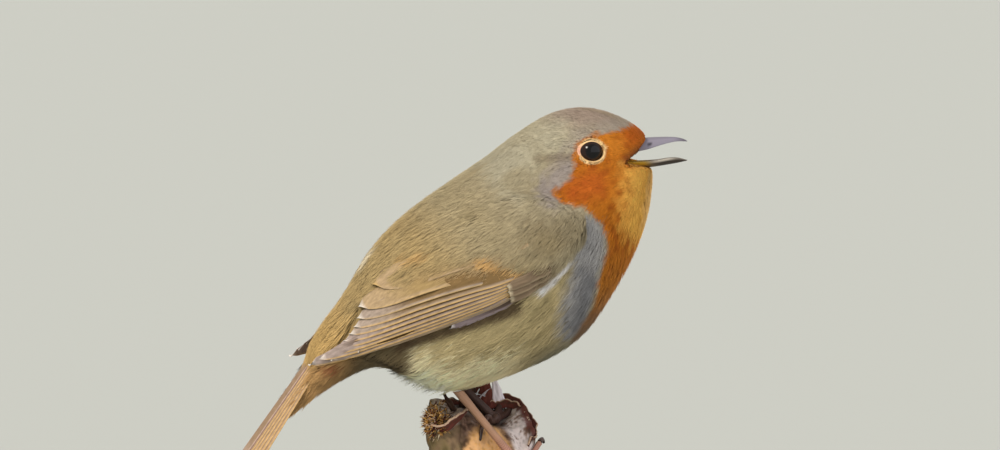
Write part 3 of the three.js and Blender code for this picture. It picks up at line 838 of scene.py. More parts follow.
def finish_piece(piece, material, slot, *replaced):
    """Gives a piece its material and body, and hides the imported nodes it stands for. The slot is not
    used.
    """
    piece.data.materials.append(material)
    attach(piece, "root")
    if replaced:
        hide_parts(*replaced)
    print(piece.name, triangle_count(piece), "triangles")


skin_coat = painted_material("skin_down", 0.9, specular=0.1)
add_relief(skin_coat, object_noise(skin_coat, 2500).outputs["Fac"], 0.4, 0.1 * MM)
skin_straight = straighten(points_of(skin))
skin_colours = many(plumage, skin_straight) * SKIN_SHADE
in_mouth = (np.abs(skin_straight[:, 1]) < 2.6) & (skin_straight[:, 2] < 72.5)
skin_colours[in_mouth & (past_face(skin_straight) > -0.35)] = MOUTH_LINING
paint_on(skin, skin_colours)
finish_piece(smooth_shaded(skin), skin_coat, "plumage_olive", *FLESH, *COVERTS)
feather_soft = painted_material("feather_barbs", 0.8, sheen=0.04, specular=0.12)

# %% [markdown]
# The coat is some thousands of tufts. Each is one small body feather: a fan of thin tapering
# barbs that starts in the skin, runs along the lie of the coat and ends at the bird's outline.
# The roots are strewn over the skin no closer than a spacing that grows with the feather. Every
# tuft of a kind has the same faces, so a whole region is worked out at once with arrays and
# becomes one mesh, which would take days by hand.

# %% Where the tufts stand
LIE_ALONG = [0.0, 0.12, 0.25, 0.38, 0.55, 0.72, 0.86, 1.0]
UPPER_LENGTH = [1.5, 2.2, 3.2, 4.6, 6.2, 6.8, 6.4, 5.0]
LOWER_LENGTH = [1.6, 3.4, 5.0, 6.6, 8.0, 8.6, 7.0, 5.0]
EYE_LENGTH, LORE_LENGTH, THIGH_LENGTH = 0.95, 1.3, 4.5


def feather_length(points):
    along, angle = body_place(points)
    above, below = (np.interp(along, LIE_ALONG, side) for side in (UPPER_LENGTH, LOWER_LENGTH))
    length = mix(above, below, ease(np.abs(angle), 1.2, 2.4))
    x, z = points[:, 0], points[:, 2]
    length = mix(EYE_LENGTH, length, ease(np.hypot(x - EYE[0], z - EYE[1]), 3.2, 9.5))
    length = mix(LORE_LENGTH, length, ease(np.hypot(x - 39, z - 71), 3, 14))
    thigh = (np.hypot(x + 6, z - 19) < 9) & (np.abs(points[:, 1]) > 3) & (z < 20)
    return np.where(thigh, np.minimum(length, THIGH_LENGTH), length)


def spacing(points):
    return 0.26 + 0.15 * feather_length(points)


STREWN = 110000
RUMP_END, TAIL_WAY = np.array([-46.6, 0, 15.0]), np.array([-0.59, 0, -0.81])
FLIGHT_ZONE = np.array([
    [7.5, 39.2], [1.8, 37.4], [-9.7, 33.5], [-20.7, 29.3], [-29, 26.1], [-35.2, 23.6], [-42.2, 21.4],
    [-40.8, 23.6], [-36.8, 26.9], [-33.2, 31.0], [-31.2, 35.6], [-28.6, 40.6], [-26.6, 39.6],
    [-20, 39.6], [-13, 40.9], [-6.5, 41.7], [-1.5, 42.8], [2.5, 43.2], [5.5, 42.0]])


def bare(points):
    """True where no tuft may stand: on the eyes, in the mouth and under the flight feathers."""
    wing = inside(FLIGHT_ZONE, points[:, 0], points[:, 2]) & (np.abs(points[:, 1]) > 7)
    mouth = (past_face(points) > -0.3) & (np.abs(points[:, 1]) < 6)
    past, above = tail_frame(points)
    tail = (past > 14) & (above > -0.3)
    return (eye_gap(points) < 1.1) | mouth | wing | tail | ((points - RUMP_END) @ TAIL_WAY > 0.2)


def scattered(piece, count, seed):
    """Random places on a mesh, thickest where the spacing is smallest."""
    rng = np.random.default_rng(seed)
    piece.data.calc_loop_triangles()
    corners = np.array([t.vertices for t in piece.data.loop_triangles])
    a, b, c = (points_of(piece)[corners[:, k]] for k in range(3))
    area = np.linalg.norm(np.cross(b - a, c - a), axis=1)
    straight_middle = straighten((a + b + c) / 3)
    wanted = area / many(spacing, straight_middle) ** 2
    wanted[many(bare, straight_middle)] = 0
    chosen = rng.choice(len(area), count, p=wanted / wanted.sum())
    u, v = rng.random((2, count))
    over = u + v > 1
    u[over], v[over] = 1 - u[over], 1 - v[over]
    return a[chosen] + u[:, None] * (b - a)[chosen] + v[:, None] * (c - a)[chosen]


def thinned(places):
    """The places that keep their spacing from those before them, found through a grid of cells."""
    gaps = many(spacing, straighten(places)) * MM
    keys = np.floor(places / gaps.max()).astype(int).tolist()
    listed = places.tolist()
    cells, kept = {}, []
    for i, (kx, ky, kz) in enumerate(keys):
        x, y, z = listed[i]
        reach = gaps[i] ** 2
        near = (listed[j] for dx in (-1, 0, 1) for dy in (-1, 0, 1) for dz in (-1, 0, 1)
                for j in cells.get((kx + dx, ky + dy, kz + dz), ()))
        if any((px - x) ** 2 + (py - y) ** 2 + (pz - z) ** 2 < reach for px, py, pz in near):
            continue
        cells.setdefault((kx, ky, kz), []).append(i)
        kept.append(i)
    return places[kept]


roots = thinned(scattered(skin, STREWN, 11))
print("tufts:", len(roots))

# %% [markdown]
# Each tuft needs a line to lie along. From its root it takes a few short steps in the direction of
# the lie, and after each step it is put back on the skin, as a comb would do. Behind the thighs
# the fluff is loose, and there the ends stray out of the coat.

# %% Feather lines over the skin
LINE_STEPS = 4
WISP_MIDDLE, WISP_REACH, WISP_STRAY = (-12, 15), 9.5, 3.4


def on_skin(places):
    """The nearest skin to each place, and the way the skin faces there."""
    found, facing = np.empty_like(places), np.empty_like(places)
    for i, place in enumerate(places.tolist()):
        hit, normal, _, _ = skin_tree.find_nearest(place)
        found[i], facing[i] = hit, normal
    return found, facing


def feather_lines(starts, lengths):
    """Lines that follow the lie of the coat over the skin, with the skin's facing along them."""
    places, facing = on_skin(starts)
    line, faces = [places], [facing]
    for _ in range(LINE_STEPS):
        straight = straighten(places)
        way = pose(straight + 0.5 * many(lie, straight)) - places
        way = unit(way - (way * facing).sum(1)[:, None] * facing)
        wanted = places + way * (lengths / LINE_STEPS)[:, None] * MM
        found, found_facing = on_skin(wanted)
        free = ((straighten(wanted) - RUMP_END) @ TAIL_WAY > 0)[:, None]
        places, facing = np.where(free, wanted, found), np.where(free, facing, found_facing)
        line.append(places)
        faces.append(facing)
    return np.stack(line, 1), np.stack(faces, 1)


def wispiness(points):
    """1 in the loose fluff behind the thighs, where tufts stray out of the coat, 0 elsewhere."""
    gap = np.hypot(points[:, 0] - WISP_MIDDLE[0], points[:, 2] - WISP_MIDDLE[1])
    return 1 - ease(gap, 0.35 * WISP_REACH, WISP_REACH)


def looks_out(places):
    """False where the skin has folded in on itself at the thin end of the rump."""
    straight = straighten(places)
    weights = spine_weights(straight)
    middle = weights @ spine
    radial = straight - np.column_stack([middle[:, 0], np.zeros(len(middle)), middle[:, 1]])
    outward = unit(pose(straight + 0.5 * unit(radial)) - places)
    return ((on_skin(places)[1] * outward).sum(1) > 0.1) | (tail_frame(straight)[0] < 6)


roots = roots[many(looks_out, roots)]
straight_roots = straighten(roots)
lengths = many(feather_length, straight_roots)
lines, facings = feather_lines(roots, lengths)
stray = wispiness(straight_roots) * WISP_STRAY * np.random.default_rng(12).random(len(roots)) ** 2
lines[:, 3:] += facings[:, 3:] * stray[:, None, None] * np.array([0.45, 1.0])[:, None] * MM
print("mean feather", lengths.mean().round(2), "mm")

# %% [markdown]
# A barb is a slim blade: three corners at its root, three part of the way along, and a point. The
# barbs of a tuft fan out from one root, bend with the body and end at slightly different lengths.
# Their edges are shaded as if they turned a little away, which makes them look soft.

# %% Barbs
BARB_KINDS = dict(fine=dict(barbs=12, fan=13), full=dict(barbs=20, fan=15))
BARB_RINGS = np.array([0, 0.6, 1.0])  # shares of a barb's length, the last one its point
# A barb is darker at its root and lighter at its point: the feather's darker base, deepened by painted
# shade where tufts lie over it.
RING_TONES = np.array([0.8, 0.962, 1.05])
BRIGHTEST = 0.95
SOFTNESS = 0.32  # how far a barb's two edges turn away from the way the body faces


def blade_faces():
    """Corner numbers of one barb's triangles: two rings of left, ridge and right, then the tip."""
    sides = [(k, k + 3, n + 3) for k, n in ((0, 1), (1, 2), (2, 0))]
    sides += [(k, n + 3, n) for k, n in ((0, 1), (1, 2), (2, 0))]
    return np.array([(0, 1, 2), *sides, (3, 6, 4), (4, 6, 5), (5, 6, 3)])


def along_lines(lines, t):
    """Points at shares t (tufts by barbs by rings) along each tuft's line."""
    step = np.clip(t, 0, 1) * LINE_STEPS
    low = np.minimum(step.astype(int), LINE_STEPS - 1)
    part = (step - low)[..., None]
    tuft = np.arange(len(lines))[:, None, None]
    return lines[tuft, low] * (1 - part) + lines[tuft, low + 1] * part


def barb_middles(lines, facings, lengths, kind, rng):
    """Every barb's middle line, its outward and side ways, and the shares where its rings stand."""
    count, number = len(lines), kind["barbs"]
    across = np.linspace(-1, 1, number)[None] + rng.normal(0, 0.14, (count, number))
    reach = 1 - 0.2 * across ** 2 - 0.34 * rng.random((count, number)) ** 2
    share = np.clip(reach[..., None] * BARB_RINGS, 0, 1)
    out = unit(along_lines(facings, share))
    way = unit(lines[:, -1] - lines[:, 0])[:, None, None]
    side = unit(np.cross(out, np.broadcast_to(way, out.shape)))
    half = 0.6 * many(spacing, straighten(lines[:, 0]))[:, None, None]
    fanned = math.tan(math.radians(kind["fan"])) * lengths[:, None, None] * share
    spread = across[..., None] * (half * (0.6 + 0.5 * share) + fanned)
    depth = many(coat_depth, straighten(lines[:, 2]))[:, None, None]
    lift = depth * (0.12 + 0.88 * share ** 0.8) * (1 + rng.normal(0, 0.05, (count, number, 1)))
    lift += rng.normal(0, 0.03, (count, number, 1)) - spread ** 2 / 40
    shift = side * spread[..., None] + out * lift[..., None]
    return along_lines(lines, share) + shift * MM, out, side, share


def pointed(rings, points):
    """Rows of corners for each barb: three to a ring, then the single point."""
    flat = rings[:, :, :-1].reshape(*rings.shape[:2], -1, 3)
    return np.concatenate([flat, points[:, :, -1:]], 2)


def barb_corners(middle, out, side, share, lengths):
    """The barbs' corners and the way each is shaded."""
    slim = np.where(share < 0.3, 0.8, 1.0) * np.linspace(1, 0.6, len(BARB_RINGS))
    width = ((0.05 + 0.0115 * lengths[:, None, None]) * slim)[..., None] * MM
    ridge = middle + out * 0.45 * width
    corners = np.stack([middle - side * width, ridge, middle + side * width], 3)
    facing = np.stack([unit(out - side * SOFTNESS), out, unit(out + side * SOFTNESS)], 3)
    return pointed(corners, middle), pointed(facing, out)


def barb_paints(lines, middle, rng):
    """The markings, uneven from barb to barb. One place decides, so borders run along barbs."""
    count, number = middle.shape[:2]
    outer = middle[:, :, -1] * 0.7 + middle[:, :, 0] * 0.3
    tone = many(plumage, straighten(outer.reshape(-1, 3))).reshape(*outer.shape)[:, :, None]
    wispy = wispiness(straighten(lines[:, 0]))[:, None, None, None]
    # The loose fluff is painted lighter than its markings: painted light on an underside that the
    # lamps hardly reach.
    tone *= (1 + rng.normal(0, 0.06, (count, number, 1, 1))) * (1 + 0.35 * wispy)
    tone *= 1 + (0.045 + 0.12 * wispy) * rng.normal(0, 1, (count, 1, 1, 1))
    tone = np.minimum(tone, BRIGHTEST) * RING_TONES[:, None]
    return np.concatenate([np.repeat(tone[:, :, :-1], 3, 2), tone[:, :, -1:]], 2)


print("faces in a barb:", len(blade_faces()))

# %% [markdown]
# The bake map gives each tuft a small patch at its root's place on the skin's unwrap, so that
# neighbours on the bird are neighbours on the map.

# %% Tufts on the bake map
TUFT_PATCH = 0.003
PATCH_ACROSS = np.array([-0.45, 0, 0.45, -0.45, 0, 0.45, 0])
PATCH_ALONG = np.array([0, 0, 0, 0.6, 0.6, 0.6, 1]) - 0.5


def tuft_places(roots, number):
    along, angle = many(lambda p: np.column_stack(body_place(p)), roots).T
    u0 = 0.01 + 0.98 * (angle / (2 * np.pi) + 0.5)
    v0 = 0.01 + 0.98 * along
    place = (np.arange(number) + 0.5) / number - 0.5
    u = u0[:, None, None] + TUFT_PATCH * (place[:, None] + PATCH_ACROSS / number)
    v = v0[:, None, None] + TUFT_PATCH * PATCH_ALONG
    return np.stack([u, np.broadcast_to(v, u.shape)], -1).reshape(-1, 2)


def barbs(lines, facings, lengths, kind, seed):
    """Corners, facing, paint, map places and triangles of these tufts' barbs."""
    rng = np.random.default_rng(seed)
    middle, out, side, share = barb_middles(lines, facings, lengths, kind, rng)
    corners, facing = barb_corners(middle, out, side, share, lengths)
    paints = barb_paints(lines, middle, rng)
    places = tuft_places(straighten(lines[:, 0]), kind["barbs"])
    first = np.arange(len(lines) * kind["barbs"]) * corners.shape[2]
    triangles = (first[:, None, None] + blade_faces()[None]).reshape(-1, 3)
    return corners.reshape(-1, 3), facing.reshape(-1, 3), paints.reshape(-1, 3), places, triangles


# %% [markdown]
# The tufts of each region of the body become one mesh, straight from the arrays. The regions keep
# the pieces light enough to handle.

# %% The coat
FINE_UNDER = 2.6  # tufts shorter than this, in millimetres, are the fine ones
COAT_SLOTS = dict(breast="plumage_orange", face="plumage_orange",
                  belly="plumage_belly", vent="plumage_belly")
FIRST_SEED = 100


def mesh_from(name, corners, triangles, paints=None, places=None, facing=None):
    """A mesh piece straight from arrays. Facing, where given, is the way each corner is shaded."""
    mesh = bpy.data.meshes.new(name)
    mesh.vertices.add(len(corners))
    mesh.vertices.foreach_set("co", np.asarray(corners, np.float32).ravel())
    mesh.loops.add(triangles.size)
    mesh.loops.foreach_set("vertex_index", triangles.astype(np.int32).ravel())
    mesh.polygons.add(len(triangles))
    mesh.polygons.foreach_set("loop_start", np.arange(0, triangles.size, 3, dtype=np.int32))
    mesh.polygons.foreach_set("use_smooth", np.ones(len(triangles), bool))
    mesh.update(calc_edges=True)
    piece = bpy.data.objects.new(name, mesh)
    bpy.context.scene.collection.objects.link(piece)
    if places is not None:
        layer = mesh.uv_layers.new(name="OFBake")
        at_corners = np.clip(places[triangles.ravel()], 0.001, 0.999)
        layer.data.foreach_set("uv", at_corners.astype(np.float32).ravel())
    if paints is not None:
        paint_on(piece, paints)
    if facing is not None:
        mesh.normals_split_custom_set_from_vertices(np.asarray(facing, np.float32))
    return piece


def region_names(points):
    """The coat piece each root belongs to."""
    along, angle = body_place(points)
    side = np.where(points[:, 1] < 0, "_right", "_left")
    names = np.where(np.abs(angle) < 1.25, "back", "flank").astype("U24")
    names = np.where(np.abs(angle) > 2.35, "belly", names)
    names = np.where((along > 0.66) & (np.abs(angle) < 1.4), "rump", names)
    names = np.where((along > 0.66) & (np.abs(angle) >= 1.4), "vent", names)
    names = np.where((along < 0.36) & (np.abs(angle) >= 1.35), "breast", names)
    names = np.where((along < 0.24) & (np.abs(angle) < 1.35), "crown", names)
    names = np.where((along < 0.17) & (np.abs(angle) >= 1.35), "face", names)
    return np.where(np.isin(names, ["belly", "vent"]), names, np.char.add(names, side))


def coat_piece(region, chosen_lines, chosen_facings, chosen_lengths, seed):
    """One piece of the coat: its short tufts are fine, the others full."""
    parts, shift = [], 0
    for kind_name, kind in BARB_KINDS.items():
        chosen = (chosen_lengths < FINE_UNDER) == (kind_name == "fine")
        if not chosen.any():
            continue
        tufts = (group[chosen] for group in (chosen_lines, chosen_facings, chosen_lengths))
        *made, triangles = barbs(*tufts, kind, seed)
        parts.append((*made, triangles + shift))
        shift += len(made[0])
    corners, facing, paints, places, triangles = (np.concatenate(group) for group in zip(*parts))
    coat = mesh_from("coat_" + region, corners, triangles, paints, places, facing)
    finish_piece(coat, feather_soft, COAT_SLOTS.get(region.split("_")[0], "plumage_olive"))
    return len(triangles)


regions = many(region_names, straight_roots)
coat_total = 0
for number, region in enumerate(sorted(set(regions))):
    there = regions == region
    tufts = lines[there], facings[there], lengths[there]
    coat_total += coat_piece(region, *tufts, FIRST_SEED + number)
print("coat:", coat_total, "triangles from", len(roots), "tufts")

# %% [markdown]
# A flight feather is a thin curved plate: a shaft nearer its outer edge, a web on each side and
# a rounded tip. All of them come from one maker. It takes a grid of places and the way the grid
# faces, tilts it a little so that each feather overlaps the one below like a roof tile, and
# closes it into a plate. Extruding a plane by hand gives the same plate, one feather at a time.

# %% Feather plates
VANE_ROWS = 24
VANE_COLUMNS = np.array([-1, -0.93, -0.8, -0.6, -0.4, -0.28, -0.1, 0.3, 0.7, 1.0])
SHAFT_COLUMN = -0.32
VANE_THICK = 0.09
VANE_TILT = 0.17  # rise of the outer edge for each millimetre of half width


def vane_width(rows, tip_from=0.78, point=0.9):
    """Half width along a feather as a share of its widest, from a narrow root to a round tip."""
    root = np.clip((rows + 0.05) / 0.25, 0, 1) ** 0.5
    tip = np.clip((rows - tip_from) / (1 - tip_from), 0, 1)
    return root * np.maximum(1 - tip ** 2.2, 0.0) ** (0.5 / point) + 0.02


def plate(grid, facing, thick=VANE_THICK):
    """Corner places and triangles of a closed plate under a grid of places."""
    rows, columns = grid.shape[:2]
    under = grid - facing * thick * MM
    corners = np.concatenate([grid.reshape(-1, 3), under.reshape(-1, 3)])
    r, c = np.meshgrid(np.arange(rows - 1), np.arange(columns - 1), indexing="ij")
    a = (r * columns + c).ravel()
    halves = [a, a + 1, a + columns + 1], [a, a + columns + 1, a + columns]
    top = np.concatenate([np.stack(half, 1) for half in halves])
    below = top[:, ::-1] + rows * columns
    rim = np.array([*range(columns), *range(2 * columns - 1, rows * columns, columns),
                    *range(rows * columns - 2, (rows - 1) * columns - 1, -1),
                    *range((rows - 2) * columns, 0, -columns)])
    on = np.roll(rim, -1)
    wall = np.concatenate([np.stack([rim, rim + rows * columns, on + rows * columns], 1),
                           np.stack([rim, on + rows * columns, on], 1)])
    triangles = np.concatenate([top, below, wall])
    middle = np.cross(corners[triangles[0, 1]] - corners[triangles[0, 0]],
                      corners[triangles[0, 2]] - corners[triangles[0, 0]])
    return corners, triangles if middle @ facing[0, 0] > 0 else triangles[:, ::-1]


def facing_of(grid, outward):
    """The way each place of a grid faces, on the side of outward."""
    facing = unit(np.cross(np.gradient(grid, axis=0), np.gradient(grid, axis=1)))
    return facing * np.sign((facing * outward).sum(-1, keepdims=True))


print("a plate has", VANE_ROWS, "rows of", len(VANE_COLUMNS), "places")

# %% [markdown]
# A feather's paint goes by the distance from its outer edge and its tip: a pale rim and a pale tip
# show on a folded wing, and little else. The plates of one group are gathered into one piece.

# %% Feather paint and groups
UNDERSIDE_SHADE = 0.75


def vane_paint(rows, across, length, half, web, edge, tip, inner, edge_width=0.3):
    """Web colour with a pale outer edge and tip, turning to the inner colour towards the root."""
    from_edge = (1 + across) * half[:, None]
    from_tip = (1 - rows) * length + 0.5 * across ** 2
    shown = ease(from_edge, 0.5, 0.9) * ease(from_tip, 3, 14)
    colour = mix(np.tile(web, (*across.shape, 1)).astype(float), inner, shown[..., None])
    rim = 1 - ease(from_edge, edge_width * 0.7, edge_width * 1.5)
    colour = mix(colour, edge, (rim * mix(0.6, 1.0, ease(from_tip, 2, 8)))[..., None])
    return mix(colour, tip, 0.95 * (1 - ease(from_tip, 0.6, 1.4))[..., None])


class FeatherStack:
    """Plates gathered into one piece, each with its own cell of the bake map."""

    def __init__(self, cells):
        self.cells, self.parts, self.shift = cells, [], 0

    def add(self, grid, facing, colours, length, half):
        corners, triangles = plate(grid, facing)
        rows, columns = grid.shape[:2]
        number = len(self.parts)
        wide = math.ceil(math.sqrt(self.cells))
        across, along = np.meshgrid(np.linspace(0.06, 0.44, columns), np.linspace(0.05, 0.95, rows))
        cell = np.stack([across.ravel(), along.ravel()], 1)
        places = np.concatenate([cell, cell + [0.5, 0]]) + [number % wide, number // wide]
        breadth = (VANE_COLUMNS[None] * half[:, None]).ravel()
        reach = np.repeat(np.linspace(0, length, rows), columns)
        ruled = np.stack([0.5 + breadth / 20, reach / 100], 1)
        paints = colours.reshape(-1, 3)
        paints = np.concatenate([paints, paints * UNDERSIDE_SHADE])
        self.parts.append((corners, triangles + self.shift, paints, places / wide,
                           np.concatenate([ruled, ruled])))
        self.shift += len(corners)

    def piece(self, name, material, slot, *replaced):
        joined = (np.concatenate(group) for group in zip(*self.parts))
        corners, triangles, paints, places, ruled = joined
        made = mesh_from(name, corners, triangles, paints, places)
        layer = made.data.uv_layers.new(name="vane")
        layer.data.foreach_set("uv", ruled[triangles.ravel()].astype(np.float32).ravel())
        finish_piece(made, material, slot, *replaced)


# %% [markdown]
# The vane's material has the painted colours, streaked along the feather by a stretched noise, and
# fine slanting lines for the barbs of the web. Those are a wave texture on the feather's own map,
# so that they follow each feather whichever way it points.

# %% The vane's material
BARB_SLANT, BARB_LINES = math.radians(14), 22


def vane_finish():
    material = painted_material("feather_vane", 0.8, sheen=0.03, specular=0.08)
    streaks = object_noise(material, 1600, 6, (0.07, 1, 1), slope=20).outputs["Fac"]
    add_streaks(material, streaks, 0.74, 1.14)
    nodes, links = material.node_tree.nodes, material.node_tree.links
    own_map, slant = nodes.new("ShaderNodeUVMap"), nodes.new("ShaderNodeMapping")
    own_map.uv_map = "vane"
    slant.inputs["Rotation"].default_value = (0, 0, BARB_SLANT)
    slant.inputs["Scale"].default_value = (1, 5, 1)
    links.new(own_map.outputs["UV"], slant.inputs["Vector"])
    wave = nodes.new("ShaderNodeTexWave")
    wave.bands_direction = "Y"
    wave.inputs["Scale"].default_value = BARB_LINES
    wave.inputs["Distortion"].default_value = 1.5
    links.new(slant.outputs["Vector"], wave.inputs["Vector"])
    add_relief(material, wave.outputs["Fac"], 0.35, 0.05 * MM)
    return material


vane_material = vane_finish()
print("vane material:", len(vane_material.node_tree.nodes), "nodes")

# %% [markdown]
# The folded wing. Its long feathers fan from under the coverts to their own tips: the primaries
# at the bottom, then the secondaries, and three broad tertials on top. Each is laid out in side
# view by its lower edge, then dropped sideways onto the hull of the solids, so the fan bends
# round the flank. The inner ones arch upwards on their way.

# %% Folded wings
BUFF_EDGE, PALE_TIP, TERTIAL_TIP = srgb(206, 168, 108), srgb(252, 244, 236), srgb(232, 196, 128)
# FAN_INNER is the dark inner web, deepened by painted shade where the next feather lies over it.
FAN_WEB, FAN_INNER, PRIMARY_WEB = srgb(168, 138, 98), srgb(88, 66, 42), srgb(170, 152, 144)
SECONDARY_WEB, SECONDARY_INNER, LOW_EDGE = srgb(170, 152, 138), srgb(128, 102, 66), srgb(168, 146, 120)
TERTIAL_WEB, TERTIAL_INNER = srgb(178, 152, 118), srgb(162, 136, 92)
TERTIAL_EDGE = srgb(190, 160, 114)
FLIGHT = [  # base height, tip, half width, arch, buried share, web, edge, tip and inner colours
    (39.6, (-32.6, 25.1), 1.5, -0.3, 0.08, FAN_WEB, LOW_EDGE, PALE_TIP, FAN_INNER),
    (39.9, (-38.6, 23.0), 1.6, -0.2, 0.08, PRIMARY_WEB, LOW_EDGE, PALE_TIP, FAN_INNER),
    (40.2, (-43.2, 21.5), 1.7, -0.1, 0.08, PRIMARY_WEB, BUFF_EDGE, PALE_TIP, FAN_INNER),
    (40.7, (-41.2, 23.1), 1.6, 0.0, 0.08, PRIMARY_WEB, BUFF_EDGE, PALE_TIP, FAN_INNER),
    (41.2, (-39.1, 24.4), 1.6, 0.3, 0.08, PRIMARY_WEB, BUFF_EDGE, PALE_TIP, FAN_INNER),
    (41.7, (-37.1, 25.9), 1.6, 0.6, 0.08, PRIMARY_WEB, BUFF_EDGE, PALE_TIP, FAN_INNER),
    (42.2, (-35.5, 27.5), 1.6, 1.0, 0.08, PRIMARY_WEB, BUFF_EDGE, PALE_TIP, FAN_INNER),
    (42.7, (-34.2, 29.1), 1.7, 1.3, 0.1, SECONDARY_WEB, BUFF_EDGE, PALE_TIP, FAN_INNER),
    (43.2, (-33.1, 30.8), 1.8, 1.6, 0.12, SECONDARY_WEB, BUFF_EDGE, PALE_TIP, SECONDARY_INNER),
    (44.0, (-32.2, 32.8), 2.0, 1.9, 0.28, SECONDARY_WEB, TERTIAL_EDGE, PALE_TIP, SECONDARY_INNER),
    (46.0, (-31.4, 35.2), 2.6, 2.0, 0.58, TERTIAL_WEB, TERTIAL_EDGE, PALE_TIP, TERTIAL_INNER),
    (49.6, (-27.9, 40.2), 3.0, 1.4, 0.87, TERTIAL_WEB, TERTIAL_WEB, TERTIAL_TIP, TERTIAL_INNER),
]
PRIMARY_COUNT = 7
FLIGHT_BASE_X = 7.0
WING_LIFT, BURY_DEPTH = -0.1, 1.0
FAR_TIP_SHIFT = np.array([-1.6, 0.6])  # the left wing reaches a little further, past the rump


def onto_hull(x, z, side):
    """Places on the hull's side under points of the side view."""
    found = np.empty((x.size, 3))
    for i, (px, pz) in enumerate(zip(x.ravel().tolist(), z.ravel().tolist())):
        start = (px * MM, side * 0.06, pz * MM + LEVEL)
        hit = hull_tree.ray_cast(start, (0, -side, 0))[0]
        if hit is None:
            hit = hull_tree.find_nearest((px * MM, side * 0.012, pz * MM + LEVEL))[0]
        found[i] = hit
    return found.reshape(*x.shape, 3)


def lower_edge(base, tip, arch, rows):
    line = mix(np.array(base, float), np.array(tip, float), rows[:, None])
    line[:, 1] += arch * 4 * rows * (1 - rows)
    return line


def wing_grid(base, tip, half, arch, side, lift, tilt, buried):
    """A feather's places and facing, laid on the hull from its lower edge upwards."""
    rows = np.linspace(0, 1, VANE_ROWS) ** 0.85
    edge = lower_edge(base, tip, arch, rows)
    way = unit(np.gradient(edge, axis=0))
    up = np.stack([way[:, 1], -way[:, 0]], 1)
    width = half * vane_width(rows)
    middle = edge + up * half * np.linspace(1, 0.4, VANE_ROWS)[:, None]
    x = middle[:, :1] + up[:, :1] * width[:, None] * VANE_COLUMNS
    z = middle[:, 1:] + up[:, 1:] * width[:, None] * VANE_COLUMNS
    places = onto_hull(x, z, side)
    t, a = np.meshgrid(rows, VANE_COLUMNS, indexing="ij")
    powers = [t ** 0, t, t ** 2, t ** 3, a, a * t]
    terms = np.stack([power.ravel() for power in powers], 1)
    smooth = terms @ np.linalg.lstsq(terms, places[..., 1].ravel(), rcond=None)[0]
    places = np.stack([x * MM, smooth.reshape(x.shape), z * MM + LEVEL], -1)
    facing = facing_of(places, np.array([0, side, 0.3]))
    camber = 0.05 * half * (1 - a ** 2) + 0.05 * np.exp(-((a - SHAFT_COLUMN) / 0.1) ** 2)
    sunk = BURY_DEPTH * (1 - ease(t, buried - 0.22, buried + 0.12))
    rise = lift - tilt * half * a + camber - sunk
    return places + facing * rise[..., None] * MM, facing, rows, a, width


def wing_feather(stack, base, tip, half, arch, side, lift, colours, buried,
                 tilt=VANE_TILT, edge_width=0.3):
    """Lays out one feather, paints it and adds it to its group."""
    grid, facing, rows, across, width = wing_grid(base, tip, half, arch, side, lift, tilt, buried)
    length = math.dist(base, tip)
    rows = rows[:, None] * np.ones_like(across)
    painted = vane_paint(rows, across, length, width, *colours, edge_width)
    stack.add(grid, facing, painted, length, width)


print("flight feathers in a wing:", len(FLIGHT))

# %% [markdown]
# Both wings are built from the same table, mirrored. A grey feather shows under the fan, and a few
# short dark coverts lie over the roots of the primaries at the bend of the wing.

# %% Both wings
COVERT_COLOURS = (srgb(134, 114, 92), srgb(150, 132, 106), srgb(196, 180, 152), srgb(84, 66, 48))
PRIMARY_COVERTS = [  # base, tip, half width
    ((13, 44.0), (1.6, 40.8), 1.2),
    ((13, 42.8), (2.0, 39.4), 1.2),
    ((12.6, 41.4), (2.6, 38.0), 1.1),
]
UNDER_FEATHER = ((6.0, 37.4), (-11.2, 31.0), 1.3)
# The under feather's dark brown inner colour is painted shadow under the lower edge of the fan.
UNDER_COLOURS = (srgb(150, 134, 136), srgb(156, 142, 142), srgb(230, 220, 218), srgb(92, 76, 66))

for side, side_name in ((-1, "right"), (1, "left")):
    primaries = FeatherStack(PRIMARY_COUNT)
    long_feathers = FeatherStack(len(FLIGHT) - PRIMARY_COUNT)
    short_feathers = FeatherStack(len(PRIMARY_COVERTS) + 1)
    wing_feather(short_feathers, *UNDER_FEATHER, 0, side, -0.25, UNDER_COLOURS, 0.1,
                 tilt=-0.05, edge_width=0.1)
    for k, (base_height, tip, half, arch, buried, *colours) in enumerate(FLIGHT):
        base = (FLIGHT_BASE_X, base_height)
        if side > 0 and k < PRIMARY_COUNT:
            tip = tuple(np.array(tip) + FAR_TIP_SHIFT)
        stack = primaries if k < PRIMARY_COUNT else long_feathers
        wing_feather(stack, base, tip, half, arch, side, WING_LIFT, colours, buried)
    for base, tip, half in PRIMARY_COVERTS:
        wing_feather(short_feathers, base, tip, half, 0.2, side, 0.5, COVERT_COLOURS, 0.5)
    primaries.piece("primaries_" + side_name, vane_material, "flight_feathers",
                    "wing_primaries_" + side_name)
    long_feathers.piece("secondaries_" + side_name, vane_material, "flight_feathers",
                        "wing_secondaries_" + side_name)
    short_feathers.piece("wing_coverts_feathers_" + side_name, vane_material, "plumage_olive")

# %% [markdown]
# The tail is twelve feathers in a closed fan, a shallow roof in section with the middle pair on
# top. They lie in one plane, from the tail's given root to its tip.

# %% Tail
TAIL_PAIRS = 6
TAIL_ROOT_HALF, TAIL_TIP_HALF, TAIL_DROP, TAIL_LIFT = 4.2, 8.6, 1.5, 1.15
TAIL_WEB, TAIL_INNER = srgb(188, 156, 124), srgb(156, 128, 102)
TAIL_EDGE, TAIL_TIP_TONE = srgb(204, 166, 112), srgb(186, 162, 140)
MIDDLE_WEB, MIDDLE_EDGE = srgb(196, 172, 158), srgb(150, 118, 108)


